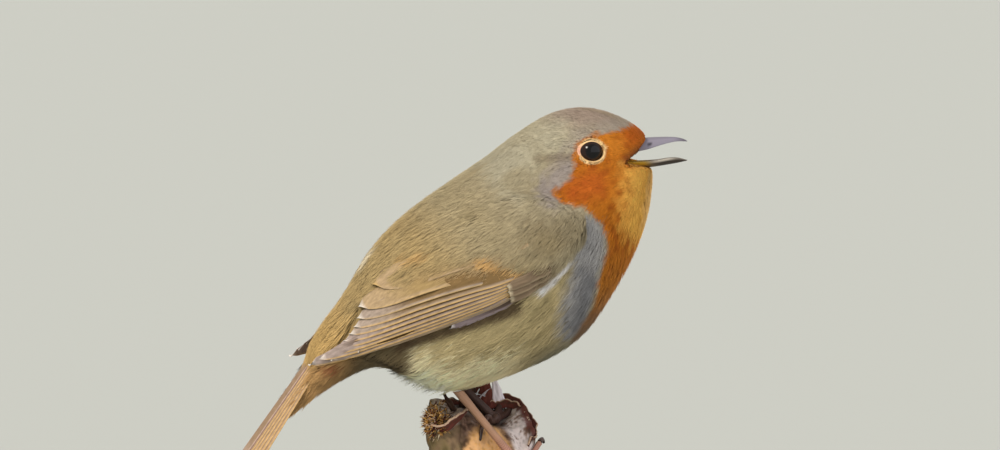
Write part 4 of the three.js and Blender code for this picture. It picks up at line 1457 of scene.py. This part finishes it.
def tail_feather(stack, pair, side):
    rows = np.linspace(0, 1, VANE_ROWS) ** 0.9
    along, up = TAIL_DOWN, TAIL_OVER
    out = (pair + 0.5) / TAIL_PAIRS
    short = 1.6 * (1 - out) ** 2 + 0.8 * out ** 4
    line = TAIL_ROOT + (TAIL_TIP - along * short - TAIL_ROOT) * rows[:, None]
    width = mix(1.5, 3.1, rows ** 0.7) * vane_width(rows, 0.86, 0.8)
    middle = side * out * mix(TAIL_ROOT_HALF, TAIL_TIP_HALF, rows ** 0.8)
    y = middle[:, None] + side * width[:, None] * -VANE_COLUMNS
    rise = TAIL_LIFT - 0.13 * pair - TAIL_DROP * (y / TAIL_TIP_HALF) ** 2
    rise += 0.1 * (1 - VANE_COLUMNS ** 2)
    rise += 0.05 * np.exp(-((VANE_COLUMNS - SHAFT_COLUMN) / 0.12) ** 2)
    x = line[:, :1] + up[0] * rise
    z = line[:, 1:] + up[1] * rise
    grid = np.stack([x * MM, y * MM, z * MM + LEVEL], -1)
    facing = facing_of(grid, np.array([up[0], 0, up[1]]))
    length = float(np.linalg.norm(TAIL_TIP - TAIL_ROOT))
    across = np.broadcast_to(VANE_COLUMNS, y.shape)
    web, edge = (MIDDLE_WEB, MIDDLE_EDGE) if pair == 0 else (TAIL_WEB, TAIL_EDGE)
    colours = vane_paint(rows[:, None] * np.ones_like(across), across, length, width,
                         web, edge, TAIL_TIP_TONE, TAIL_INNER)
    stack.add(grid, facing, colours, length, width)


tail_stack = FeatherStack(2 * TAIL_PAIRS)
for pair in reversed(range(TAIL_PAIRS)):
    for side in (-1, 1):
        tail_feather(tail_stack, pair, side)
tail_stack.piece("tail_feathers", vane_material, "tail_feathers", "tail")

# %% [markdown]
# The eye is a glossy dark ball set in its socket. A sphere is enough for it, turned so that its
# pole looks outwards, and painted with a pupil and a brown iris that hardly shows.

# %% Eyes
EYE_SEGMENTS, EYE_RINGS = 56, 32
PUPIL, IRIS = 1.6, 2.3
IRIS_BROWN, PUPIL_BLACK = srgb(38, 22, 16), srgb(8, 7, 8)

eye_material = painted_material("eye_gloss", 0.08, specular=0.28)


def eye_axes(side):
    """The eye's outward, forward and upward directions in the model."""
    middle = np.array([[EYE[0], side * 10.5, EYE[1]]])
    ahead = unit(pose(middle + [[1, 0, -0.08]]) - pose(middle))[0]
    out = unit(pose(middle + [[0.2, side, 0.12]]) - pose(middle))[0]
    up = unit(np.cross(ahead, out) * side)
    return out, unit(np.cross(up, out) * -side), up


def make_eye(side, side_name):
    node = "eye_" + side_name
    low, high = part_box(node)
    middle, radius = (low + high) / 2, (high.z - low.z) / 2
    start_clean()
    bpy.ops.mesh.primitive_uv_sphere_add(segments=EYE_SEGMENTS, ring_count=EYE_RINGS, radius=radius)
    ball = bpy.context.object
    ball.name = "eyeball_" + side_name
    out, ahead, up = eye_axes(side)
    local = points_of(ball) / MM
    from_axis = np.hypot(local[:, 0], local[:, 1])
    facing = np.where(local[:, 2] > 0, 1.0, 0.0)
    brown = ease(from_axis, PUPIL, PUPIL + 0.15) * (1 - ease(from_axis, IRIS, IRIS + 0.5)) * facing
    paint_on(ball, mix(PUPIL_BLACK, IRIS_BROWN, brown[:, None]))
    spread = points_of(ball)
    put_points(ball, np.array(middle) + spread @ np.stack([ahead, up, out]))
    face_outwards(ball)
    finish_piece(smooth_shaded(ball), eye_material, "eye", node)
    return np.array(middle), radius, out, ahead, up


print("the left eye looks", eye_axes(1)[0].round(2))

# %% [markdown]
# Each eye gets its lid at once. The lid starts as a torus, whose points are dropped onto the ball
# or the head along the eye's axis. A dark margin hugs the ball, with a ring of pale skin round it.

# %% Lids
LID_STEPS, LID_SECTION = 72, 14
LID_HALF_WIDTH, LID_REAR_EXTRA, LID_HEIGHT, LID_LEVEL = 0.2, 0.18, 0.1, 0.22
LID_DROP = 12 * MM  # the lid's points are dropped onto the head from this far out
LID_MARGIN, LID_BUFF, LID_PINK = srgb(96, 66, 48), srgb(236, 198, 144), srgb(230, 176, 148)

lid_material = painted_material("eyelid_skin", 0.75, specular=0.15)
lid_grain = object_noise(lid_material, 2600).outputs["Fac"]
add_relief(lid_material, lid_grain, 0.6, 0.12 * MM)


def make_lid(side_name, middle, radius, out, ahead, up):
    start_clean()
    bpy.ops.mesh.primitive_torus_add(major_segments=LID_STEPS, minor_segments=LID_SECTION,
                                     major_radius=1.0, minor_radius=0.25)
    lid = bpy.context.object
    lid.name = "eyelid_" + side_name
    raw = points_of(lid)
    turn = np.arctan2(raw[:, 1], raw[:, 0])
    section = np.arctan2(raw[:, 2], np.hypot(raw[:, 0], raw[:, 1]) - 1.0)
    rear = ease(-np.cos(turn), 0.75, 1.0)
    reach = (LID_HALF_WIDTH + LID_REAR_EXTRA * rear) * (1 + np.cos(section))
    rise = 0.03 + LID_HEIGHT * np.sin(section) + LID_LEVEL * ease(np.cos(section), -0.6, 0.8)
    places = np.empty_like(raw)
    wide, tall = EYE_HALF_WIDE + reach, EYE_HALF_TALL + reach
    across = (np.cos(turn) * wide)[:, None] * ahead + (np.sin(turn) * tall)[:, None] * up
    for i, offset in enumerate(across * MM):
        over_ball = math.sqrt(max(radius ** 2 - offset @ offset, 0))
        place = middle + offset + out * over_ball
        hit = skin_tree.ray_cast(Vector(middle + offset + out * LID_DROP), Vector(-out))[0]
        if hit is not None and (np.array(hit) - place) @ out > 0:
            place = np.array(hit)
        places[i] = place + out * rise[i] * MM
    put_points(lid, places)
    inner = 1 - ease(reach, 0.02, 0.1)
    colour = tinted(ground(raw, LID_BUFF), LID_PINK, rear)
    paint_on(lid, mix(colour, LID_MARGIN, inner[:, None]))
    face_outwards(lid)
    modify(lid, "SUBSURF", levels=1, render_levels=1)
    finish_piece(smooth_shaded(lid), lid_material, "eye")


for side, side_name in ((-1, "right"), (1, "left")):
    make_lid(side_name, *make_eye(side, side_name))

# %% [markdown]
# The bill is open, as in song. Each half is horn over bone: a rounded ridge, sharp cutting edges
# and a hollow inner face. A cylinder with enough rings is bent to the two outlines, the same way
# as one would scale its edge loops one by one.

# %% Bill
BILL_SIDES, BILL_RINGS = 24, 30
UPPER_RIDGE = [(34.5, 73.6), (38, 74.8), (41, 75.15), (45.4, 75.25), (47.7, 75.1), (49.2, 74.7),
               (50, 74.25)]
UPPER_EDGE = [(34.5, 70.6), (38, 71.7), (40.5, 72.25), (42.8, 73.0), (45.4, 73.75), (47.7, 74.15),
              (50, 74.1)]
UPPER_HALF = [(34.5, 3.0), (38, 2.8), (41, 2.35), (45.4, 1.45), (47.7, 0.85), (49.3, 0.42),
              (50, 0.16)]
LOWER_EDGE = [(33.6, 69.1), (36, 69.4), (39.2, 69.45), (42.8, 69.75), (45.4, 70.2), (47.7, 70.25),
              (50, 69.65)]
LOWER_KEEL = [(33.6, 67.6), (36, 67.7), (39.2, 67.7), (42.0, 68.0), (44.9, 68.45), (47.7, 68.95),
              (50, 69.5)]
LOWER_HALF = [(33.6, 3.2), (36, 3.0), (39.2, 2.55), (42.8, 1.9), (45.6, 1.35), (47.8, 0.8),
              (50, 0.16)]


def curve_at(points, x):
    """A smooth curve through an outline's points, read at x."""
    fine = along_line(np.array(points, float), 200)
    return np.interp(x, fine[:, 0], fine[:, 1])


def horn_cylinder(name):
    """A cylinder with rings along its length: its places as an angle and a share of 0 to 1."""
    start_clean()
    bpy.ops.mesh.primitive_cylinder_add(vertices=BILL_SIDES, radius=1, depth=1,
                                        end_fill_type="TRIFAN")
    horn = bpy.context.object
    horn.name = name
    bpy.ops.object.mode_set(mode="EDIT")
    bpy.ops.mesh.select_mode(type="EDGE")
    bpy.ops.mesh.select_all(action="DESELECT")
    bpy.ops.object.mode_set(mode="OBJECT")
    for edge in horn.data.edges:
        a, b = (horn.data.vertices[v].co for v in edge.vertices)
        edge.select = abs(a.z - b.z) > 0.5
    bpy.ops.object.mode_set(mode="EDIT")
    bpy.ops.mesh.subdivide(number_cuts=BILL_RINGS - 1, quadcorner="INNERVERT")
    bpy.ops.object.mode_set(mode="OBJECT")
    raw = points_of(horn)
    return horn, np.arctan2(raw[:, 1], raw[:, 0]), raw[:, 2] + 0.5, np.hypot(raw[:, 0], raw[:, 1])


def bill_half(name, outer, edge, half, hollow, node, paint_bill):
    """One half of the bill: outer is its ridge or keel, edge its cutting edge."""
    horn, turn, share, middle = horn_cylinder(name)
    first, last = outer[0][0], outer[-1][0]
    x = mix(first, last, share)
    tall = np.sin(turn) * middle
    y = curve_at(half, x) * np.sign(np.cos(turn)) * np.abs(np.cos(turn)) ** 0.8 * middle
    rim = curve_at(edge, x)
    height = curve_at(outer, x) - rim
    z = rim + np.where(tall > 0, height * np.abs(tall) ** 1.15, height * hollow * np.abs(tall))
    points = np.stack([x, y, z], 1)
    put_points(horn, pose(points))
    paint_on(horn, paint_bill(points, np.clip(tall, 0, 1)))
    face_outwards(horn)
    modify(horn, "SUBSURF", levels=1, render_levels=1)
    finish_piece(smooth_shaded(horn), bill_material, "bill_horn", node)


# %% [markdown]
# The horn is bluish grey above, with a dark nostril, and nearly black below, with a pale cutting
# edge. At the gape it turns yellow, the last trace of the nestling's bright mouth.

# %% Paint of the bill
NOSTRIL = (40.9, 73.8)
UPPER_HORN, RIDGE_TONE, HORN_TIP = srgb(134, 128, 142), srgb(104, 98, 110), srgb(86, 80, 88)
LOWER_HORN, EDGE_TONE, KEEL_TONE = srgb(56, 46, 38), srgb(200, 190, 176), srgb(120, 98, 60)
GAPE_YELLOW, NOSTRIL_TONE = srgb(196, 160, 48), srgb(30, 26, 40)


def paint_upper(points, ridge):
    x, z = points[:, 0], points[:, 2]
    colour = tinted(ground(points, UPPER_HORN), RIDGE_TONE, 0.6 * ease(ridge, 0.75, 1))
    colour = tinted(colour, HORN_TIP, 0.8 * ease(x, 46.5, 49.8))
    colour = tinted(colour, GAPE_YELLOW * 0.6, 0.6 * (1 - ease(x, 36, 39.5)))
    gap = np.hypot((x - NOSTRIL[0]) / 1.5, z - NOSTRIL[1])
    return tinted(colour, NOSTRIL_TONE, 1 - ease(gap, 0.22, 0.42))


def paint_lower(points, keel):
    x = points[:, 0]
    colour = tinted(ground(points, EDGE_TONE), LOWER_HORN, ease(keel, 0.18, 0.5))
    colour = tinted(colour, LOWER_HORN, 0.75 * ease(x, 45, 48))
    colour = tinted(colour, KEEL_TONE, 0.7 * (1 - ease(x, 40, 43.5)))
    return tinted(colour, GAPE_YELLOW, (1 - ease(x, 39, 41.8)) * (1 - ease(keel, 0.4, 0.8)))


bill_material = painted_material("bill_horn", 0.38, specular=0.35)
bill_grain = object_noise(bill_material, 900, 5, (1, 4, 4)).outputs["Fac"]
add_relief(bill_material, bill_grain, 0.25, 0.06 * MM)
bill_half("bill_upper_horn", UPPER_RIDGE, UPPER_EDGE, UPPER_HALF, 0.35, "bill_upper", paint_upper)
bill_half("bill_lower_horn", LOWER_KEEL, LOWER_EDGE, LOWER_HALF, 0.3, "bill_lower", paint_lower)

# %% [markdown]
# The legs are bare. The shank is smooth, the toes carry small scutes, like tiles, and the claws
# are curved horn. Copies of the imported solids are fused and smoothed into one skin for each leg,
# and the grooves between the scutes are pressed in by their distance from the foot's middle.

# %% Legs and claws
LEG_VOXEL, CLAW_VOXEL = 0.2 * MM, 0.11 * MM
LEG_SWELL = 0.18 * MM
SCUTE_STEP, TOE_GROOVE, SHANK_GROOVE = 0.9, 0.09, 0.025
# The left leg, on the far side, is painted darker than the right: painted shade on the same skin.
LEG_TONES = dict(right=(srgb(170, 130, 104), srgb(184, 132, 116)),
                 left=(srgb(76, 54, 48), srgb(86, 62, 54)))
SHANK_SHADE, CLAW_BASE, CLAW_TIP = srgb(112, 92, 76), srgb(84, 62, 54), srgb(38, 28, 26)
TOE_NAMES = ("inner", "middle", "outer", "hind")

leg_material = painted_material("leg_scutes", 0.5, specular=0.3)
add_relief(leg_material, object_noise(leg_material, 1800).outputs["Fac"], 0.3, 0.06 * MM)
claw_material = painted_material("claw_horn", 0.35, specular=0.4)
claw_grain = object_noise(claw_material, 1500, 3, (1, 1, 4)).outputs["Fac"]
add_relief(claw_material, claw_grain, 0.2, 0.04 * MM)


def make_leg(name):
    leg = soft_copy([f"tarsus_{name}", f"foot_{name}"], f"leg_{name}", LEG_VOXEL, LEG_SWELL, 8)
    low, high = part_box(f"foot_{name}")
    shank_low, shank_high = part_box(f"tarsus_{name}")
    at = points_of(leg)
    heel = np.array([shank_low.x, (shank_low.y + shank_high.y) / 2, shank_high.z])
    pad = np.array([shank_high.x, (low.y + high.y) / 2, shank_low.z])
    on_toes = 1 - ease((at[:, 2] - high.z) / MM, 0.0, 1.5)
    from_pad = np.linalg.norm(at - pad, axis=1) / MM
    groove = np.cos(2 * np.pi * from_pad / SCUTE_STEP) ** 8
    deep = mix(SHANK_GROOVE, TOE_GROOVE, on_toes) * groove
    swell = normals_of(leg) * (LEG_SWELL * 0.75 + deep[:, None] * MM)
    put_points(leg, at - swell)
    upper, lower = LEG_TONES[name]
    down = np.clip((heel[2] - at[:, 2]) / (heel[2] - pad[2]), 0, 1)
    colour = tinted(ground(at, upper), lower, ease(down, 0.55, 0.95))
    patchy = ripple(at / MM, 3.0, 21)
    behind = ease(-normals_of(leg)[:, 0] + 0.2 * patchy, 0.2, 0.9)
    # On the far leg the darker back is darker still: painted shade.
    colour = tinted(colour, SHANK_SHADE * (0.5 if name == "left" else 1), 0.45 * behind)
    colour *= (1 - 0.35 * groove * mix(0.3, 1.0, on_toes))[:, None] * (1 + 0.05 * patchy)[:, None]
    paint_on(leg, colour)
    finish_piece(smooth_shaded(leg), leg_material, "leg_scales", f"tarsus_{name}", f"foot_{name}")


def make_claws(name):
    nodes = [f"claw_{toe}_{name}" for toe in TOE_NAMES]
    claws = soft_copy(nodes, f"claws_{name}", CLAW_VOXEL, 0.1 * MM, 5)
    at = points_of(claws)
    tips = np.zeros(len(at))
    for node in nodes:
        low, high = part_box(node)
        low, high = np.array(low) - 0.4 * MM, np.array(high) + 0.4 * MM
        there = ((at > low) & (at < high)).all(1)
        tips[there] = (high[2] - at[there, 2]) / (high[2] - low[2])
    paint_on(claws, tinted(ground(at, CLAW_BASE), CLAW_TIP, ease(tips, 0.2, 0.8)))
    finish_piece(smooth_shaded(claws), claw_material, "claw_horn", *nodes)


for name in ("right", "left"):
    make_leg(name)
    make_claws(name)

# %% [markdown]
# The perch is the broken end of a branch: torn wood in the middle, fresh and tan below and
# weathered grey on the right, with a rim of dark bark that curls away from it. The stub starts
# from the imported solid, rebuilt finely and roughened along its grain by ripples of noise.

# %% Perch
PERCH_VOXEL = 0.42 * MM
BARK, BARK_DARK, BARK_GREEN = srgb(124, 102, 78), srgb(72, 52, 42), srgb(112, 100, 66)
WOOD_FRESH, WOOD_GREY, WOOD_WORN = srgb(216, 168, 118), srgb(232, 218, 214), srgb(132, 104, 88)
BARK_RED, BARK_RIM, FIBRE_GOLD = srgb(96, 50, 42), srgb(214, 184, 156), srgb(212, 158, 86)
GRAIN_DEEP, LUMP_DEEP = 0.32, 0.55

bark_material = painted_material("perch_bark", 0.9, specular=0.15)
bark_grain = object_noise(bark_material, 900, 6, (1, 1, 0.35)).outputs["Fac"]
add_relief(bark_material, bark_grain, 0.8, 0.35 * MM)


def bird_level(places):
    """The model's metres to millimetres over the bird's zero."""
    return (np.asarray(places, float) - [0, 0, LEVEL]) / MM


def perch_paint(points, facing):
    """Bark round the back and torn wood on the open side."""
    x, z = points[:, 0], points[:, 2]
    grain, patch = ripple(points * [1, 1, 0.3], 1.3, 31), ripple(points, 5, 32)
    streak = ripple(points * [1, 1, 0.12], 0.9, 39)
    colour = tinted(ground(points, BARK), BARK_DARK, ease(patch + 0.4 * grain, 0.1, 1.2))
    colour = tinted(colour, BARK_GREEN, 0.6 * ease(-x, 3, 9) * ease(patch, -0.6, 0.6))
    front = ease(-facing[:, 1] + 0.6 * facing[:, 2], -0.1, 0.45)
    torn = stroke(points, (3, 8), (2, -3), 10.5, 5.5) + 0.5 * patch
    worn = tinted(WOOD_WORN, BARK_DARK, ease(patch - streak, -0.4, 1.4))
    colour = tinted(colour, worn, 0.95 * (1 - ease(torn, -2.0, 1.5)) * front)
    grey = stroke(points, (8.6, 7), (10.5, -2), 2.6, 3.4) + 0.8 * patch
    bleached = tinted(WOOD_GREY, WOOD_WORN, ease(streak + patch, 0.2, 1.6))
    colour = tinted(colour, bleached, 0.95 * (1 - ease(grey, -1.2, 1.0)) * front)
    scar = stroke(points, (0.8, -0.6), (-1.5, -18), 6.8, 1.6) + 0.5 * patch + 0.35 * streak
    fresh = (1 - ease(scar, -0.9, 0.6)) * ease(-facing[:, 1], -0.2, 0.4)
    colour = tinted(colour, tinted(WOOD_FRESH, FIBRE_GOLD, ease(streak, 0, 1.2)), 0.95 * fresh)
    top = ease(facing[:, 2], 0.5, 0.9) * ease(z, 4, 8) * ease(-x, 1, 4)
    colour = tinted(colour, mix(WOOD_WORN, WOOD_GREY, 0.6), 0.85 * top)
    rind = np.minimum(stroke(points, (7.6, 12.4), (11, 10), 1.2, 1.2),
                      stroke(points, (11, 10), (13.4, 3), 1.2, 0.9))
    colour = tinted(colour, BARK_RED, 0.9 * (1 - ease(rind + 0.4 * grain, -0.5, 0.5)))
    shade = stroke(points, (-2.0, 10.6), (5.0, 8.6), 2.4, 2.6) + 0.5 * patch
    colour = tinted(colour, BARK_DARK * 0.5, 0.9 * (1 - ease(shade, -0.8, 1.4)))
    return colour * (1 - 0.3 * ease(grain, 0.0, 1.1))[:, None]


def make_stub():
    stub = soft_copy(["perch"], "perch_stub", PERCH_VOXEL, 0.05 * MM, 3)
    at, facing = bird_level(points_of(stub)), normals_of(stub)
    grain = ripple(at * [1, 1, 0.28], 1.7, 33)
    lumps = ripple(at * [1, 1, 0.5], 5.5, 34)
    near_feet = np.zeros(len(at))
    for name in ("right", "left"):
        low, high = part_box(f"foot_{name}")
        middle = bird_level([tuple((low + high) / 2)])[0]
        near_feet = np.maximum(near_feet, 1 - ease(np.linalg.norm(at - middle, axis=1), 8, 13))
    push = (GRAIN_DEEP * grain + LUMP_DEEP * lumps - 0.25) * mix(1.0, 0.15, near_feet)
    put_points(stub, points_of(stub) + facing * push[:, None] * MM)
    paint_on(stub, perch_paint(at, normals_of(stub)))
    finish_piece(smooth_shaded(stub), bark_material, "perch_bark", "perch")


make_stub()

# %% [markdown]
# Bark that has come loose curls outwards in strips. A strip is a plate swept along the torn rim,
# its section curled a little more at each end.

# %% Bark strips
STRIP_ROWS, STRIP_COLUMNS = 40, 9
STRIPS = [  # name, path over the bird's zero, width, curl in degrees, lean, thickness, tone
    ("bark_rim_outer",
     [(-1, 8.6, 9.6), (1.4, 9.6, 10.8), (4.9, 10.0, 11.4), (9.6, 8.6, 10.2), (11.6, 6.6, 7.8),
      (12.7, 2.8, 4.9), (12.5, -0.6, 2.6), (11.2, -4.0, 0.8)],
     2.0, -45, (0.5, 0.1, 0.85), 0.5, 0.75),
    ("bark_rim_inner",
     [(0.4, 7.8, 10.2), (3, 8.2, 9.4), (5.5, 8.3, 8.9), (8.5, 7.4, 9.2), (10.7, 5.2, 8.2),
      (12.2, 2.0, 6.0)],
     1.8, 35, (0.05, 0.25, 1), 0.4, 1.25),
    ("bark_flap_left",
     [(-13.2, -5.6, 6.2), (-11.4, -6.6, 5.4), (-9.4, -6.8, 5.3), (-6.4, -5.6, 7.4), (-3.8, -3.4, 9.6)],
     2.6, 75, (-0.3, -0.25, 1), 0.5, 1.2),
    ("bark_flap_back",
     [(-9.6, 4.6, 9.2), (-6.2, 7.6, 10.0), (-2.2, 9.0, 10.2)],
     1.8, -40, (-0.2, 0.2, 1), 0.5, 0.8),
]


def make_strip(name, path, width, curl, lean, thick, tone):
    line = along_line(np.array(path, float), STRIP_ROWS)
    way = unit(np.gradient(line, axis=0))
    t = np.linspace(0, 1, STRIP_ROWS)
    across = unit(np.array(lean, float) - (way @ np.array(lean, float))[:, None] * way)
    over = unit(np.cross(way, across))
    over *= np.sign(-over[:, 1:2])
    share = np.linspace(0, 1, STRIP_COLUMNS)
    bend = math.radians(curl) * (0.6 + 0.4 * np.abs(2 * t - 1))[:, None]
    radius = width / bend
    frayed = 1 + 0.16 * ripple(line, 2.2, len(name))[:, None] + 0.08 * ripple(line, 0.8, 7)[:, None]
    taper = (np.sin(np.pi * np.clip(t, 0.03, 0.97)) ** 0.35)[:, None] * frayed
    side = radius * np.sin(bend * share) * taper
    out = radius * (1 - np.cos(bend * share)) * taper
    grid = line[:, None] + across[:, None] * side[..., None] + over[:, None] * out[..., None]
    facing = facing_of(grid, np.broadcast_to(over[:, None], grid.shape))
    grain = ripple(grid.reshape(-1, 3), 1.1, 35).reshape(side.shape)
    grid = grid + facing * (0.12 * grain)[..., None]
    places = grid * MM + [0, 0, LEVEL]
    corners, triangles = plate(places, facing, thick)
    colour = mix(BARK_RED, BARK_DARK, ease(grain, -0.2, 1.0)[..., None]) * tone
    rim = ease(share, 0.86, 0.98)[None] * np.ones_like(side)
    colour = mix(colour, BARK_RIM, 0.9 * rim[..., None]).reshape(-1, 3)
    inside_tone = mix(colour, WOOD_WORN, 0.7)
    strip = mesh_from(name, corners, triangles, np.concatenate([colour, inside_tone]))
    finish_piece(strip, bark_material, "perch_bark")


for strip in STRIPS:
    make_strip(*strip)

# %% [markdown]
# Torn wood ends in splinters. Each is a cylinder flattened in depth, drawn out to its tip, and
# roughened along its grain.

# %% Splinters
SHARDS = [  # name, foot, tip, half width, colour
    ("shard_dark", (-6.2, 0.4, 9.4), (-8.9, 0.2, 13.9), 0.95, BARK_DARK),
    ("shard_pale", (6.9, 9.2, 9.6), (5.2, 9.4, 16.8), 1.6, srgb(236, 226, 232)),
    ("shard_brown", (2.2, 9.2, 9.6), (3.0, 9.4, 18.0), 2.9, BARK_RED),
    ("shard_low", (-1.0, 8.8, 9.6), (-0.4, 9.0, 17.4), 2.2, BARK_DARK),
    ("fibre_long", (-1.6, 7.4, 13.2), (2.8, 7.6, 12.0), 0.3, srgb(206, 206, 208)),
    ("fibre_slant", (1.2, 7.4, 11.4), (4.2, 7.6, 14.2), 0.3, srgb(196, 188, 194)),
    ("fibre_short", (0.2, 7.3, 11.6), (1.4, 7.4, 13.8), 0.24, srgb(206, 206, 208)),
]


def make_shard(name, foot, tip, half, tone):
    start_clean()
    bpy.ops.mesh.primitive_cylinder_add(vertices=14, radius=1, depth=1, end_fill_type="TRIFAN")
    shard = bpy.context.object
    shard.name = name
    edit_whole()
    bpy.ops.mesh.subdivide(number_cuts=3)
    bpy.ops.object.mode_set(mode="OBJECT")
    raw = points_of(shard)
    t = raw[:, 2] + 0.5
    foot, tip = np.array(foot, float), np.array(tip, float)
    slim = half * (1 - 0.8 * t ** 1.6)
    at = foot + (tip - foot) * t[:, None] + raw * [1, 0.5, 0] * slim[:, None]
    at += 0.22 * ripple(at * [1, 1, 0.3], 1.2, 36)[:, None] * unit(raw * [1, 1, 0] + 1e-6)
    at[:, 2] += 0.5 * t * ripple(at * [1, 1, 0], 1.0, 37)
    put_points(shard, at * MM + [0, 0, LEVEL])
    paint_on(shard, tone * (1 + 0.2 * ripple(at * [1, 1, 0.3], 0.8, 38))[:, None])
    face_outwards(shard)
    finish_piece(smooth_shaded(shard), bark_material, "perch_bark")


for shard in SHARDS:
    make_shard(*shard)

# %% [markdown]
# The frayed knob at the back is a bunch of short stiff fibres, each a slim three-sided spike. So
# many of them are made as one mesh from arrays.

# %% Fibres
FIBRE_COUNT, FIBRE_KNOB, FIBRE_REACH = 1100, (-11.0, -3.6, 7.2), 4.4


def make_fibres():
    rng = np.random.default_rng(41)
    way = unit(rng.normal(size=(FIBRE_COUNT, 3)) + [-0.9, -0.4, 0.0])
    far = rng.uniform(1.2, FIBRE_REACH, (FIBRE_COUNT, 1))
    foot = np.array(FIBRE_KNOB) + way * [0.75, 0.9, 1.0] * far
    bent = unit(way + 0.55 * rng.normal(size=(FIBRE_COUNT, 3)))
    long = rng.uniform(0.7, 2.1, (FIBRE_COUNT, 1))
    side = unit(np.cross(bent, rng.normal(size=(FIBRE_COUNT, 3))))
    other = np.cross(bent, side)
    half = rng.uniform(0.12, 0.26, (FIBRE_COUNT, 1))
    ring = [foot + half * (side * math.cos(a) + other * math.sin(a)) for a in (0, 2.094, 4.189)]
    corners = np.stack([*ring, foot + bent * long], 1)
    first = 4 * np.arange(FIBRE_COUNT)[:, None, None]
    spike = np.array([(0, 2, 1), (0, 1, 3), (1, 2, 3), (2, 0, 3)])
    triangles = (first + spike).reshape(-1, 3)
    kinds = rng.choice(3, FIBRE_COUNT, p=[0.5, 0.28, 0.22])
    tone = np.array([FIBRE_GOLD, BARK_RED, BARK_RIM])[kinds]
    tone = np.minimum(tone * rng.uniform(0.7, 1.5, (FIBRE_COUNT, 1)), 0.85)
    paints = np.repeat(tone[:, None], 4, 1)
    # Each fibre's foot is painted darker than its point: painted shade inside the bunch.
    paints[:, :3] *= 0.6
    places = corners.reshape(-1, 3) * MM + [0, 0, LEVEL]
    fibres = mesh_from("knob_fibres", places, triangles, paints.reshape(-1, 3))
    finish_piece(fibres, bark_material, "perch_bark")


make_fibres()

# %% [markdown]
# The display stand is a turned wooden disc and a steel rod. The disc is a cylinder with a beveled
# rim, whose face has a shallow groove, made by insets. Dark oiled wood has long streaks of grain,
# so its colour comes from a stretched noise.

# %% Stand
BASE_SEGMENTS = 128
GROOVE_AT, GROOVE_WIDE, GROOVE_DEEP = 0.86, 1.2, 0.5
WOOD_DARK, WOOD_LIGHT = srgb(58, 38, 26), srgb(98, 66, 44)
STEEL, ROD_SEGMENTS = srgb(176, 178, 182), 48
BASE_BEVEL, ROD_BEVEL = 1.2 * MM, 0.25 * MM


def grain_material():
    material = bpy.data.materials.new("oiled_wood")
    material.use_nodes = True
    nodes, links = material.node_tree.nodes, material.node_tree.links
    shader = nodes["Principled BSDF"]
    noise = object_noise(material, 60, 6, (1, 9, 1))
    ramp = nodes.new("ShaderNodeValToRGB")
    for stop, place, tone in zip(ramp.color_ramp.elements, (0.35, 0.68), (WOOD_DARK, WOOD_LIGHT)):
        stop.position, stop.color = place, rgba(tone)
    links.new(noise.outputs["Fac"], ramp.inputs["Fac"])
    links.new(ramp.outputs["Color"], shader.inputs["Base Color"])
    shader.inputs["Roughness"].default_value = 0.42
    add_relief(material, noise.outputs["Fac"], 0.2, 0.1 * MM)
    return material


def steel_material():
    material = plain_material("brushed_steel", STEEL, 0.32)
    material.node_tree.nodes["Principled BSDF"].inputs["Metallic"].default_value = 1.0
    brushing = object_noise(material, 4000, 3, (1, 1, 0.04)).outputs["Fac"]
    add_relief(material, brushing, 0.15, 0.03 * MM)
    return material


def round_edges(piece, width, segments):
    """Bevels the sharp edges, then shades the rest smooth."""
    modify(piece, "BEVEL", width=width, segments=segments, limit_method="ANGLE",
           angle_limit=math.radians(50))
    pick(piece)
    bpy.ops.object.shade_smooth_by_angle(angle=math.radians(30))


def make_base():
    low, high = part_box("stand_base")
    radius, thick = (high.x - low.x) / 2, high.z - low.z
    start_clean()
    middle = ((low.x + high.x) / 2, (low.y + high.y) / 2, thick / 2)
    bpy.ops.mesh.primitive_cylinder_add(vertices=BASE_SEGMENTS, radius=radius, depth=thick,
                                        location=middle)
    base = bpy.context.object
    base.name = "stand_base_wood"
    bpy.ops.object.transform_apply(location=True, rotation=False, scale=False)
    bpy.ops.object.mode_set(mode="EDIT")
    bpy.ops.mesh.select_mode(type="FACE")
    bpy.ops.mesh.select_all(action="DESELECT")
    bpy.ops.object.mode_set(mode="OBJECT")
    top = max(base.data.polygons, key=lambda face: face.center.z)
    top.select = True
    bpy.ops.object.mode_set(mode="EDIT")
    bpy.ops.mesh.inset(thickness=radius * (1 - GROOVE_AT))
    bpy.ops.mesh.inset(thickness=GROOVE_WIDE * MM / 2)
    bpy.ops.mesh.inset(thickness=GROOVE_WIDE * MM / 2)
    bpy.ops.object.mode_set(mode="OBJECT")
    at = points_of(base)
    out = np.hypot(at[:, 0], at[:, 1])
    groove = np.abs(out - (radius * GROOVE_AT - GROOVE_WIDE * MM / 2)) < 0.1 * MM
    at[groove & (at[:, 2] > thick / 2), 2] -= GROOVE_DEEP * MM
    put_points(base, at)
    round_edges(base, BASE_BEVEL, 4)
    finish_piece(base, grain_material(), "stand_wood", "stand_base")


def make_rod():
    low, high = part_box("stand_rod")
    radius = (high.x - low.x) / 2
    start_clean()
    bpy.ops.mesh.primitive_cylinder_add(vertices=ROD_SEGMENTS, radius=radius, depth=high.z - low.z,
                                        location=(0, 0, (low.z + high.z) / 2))
    rod = bpy.context.object
    rod.name = "stand_rod_steel"
    bpy.ops.object.transform_apply(location=True, rotation=False, scale=False)
    round_edges(rod, ROD_BEVEL, 2)
    finish_piece(rod, steel_material(), "stand_steel", "stand_rod")


make_base()
make_rod()

# %% [markdown]
# The hull has done its work and goes.

# %% Finish
bpy.data.objects.remove(hull)
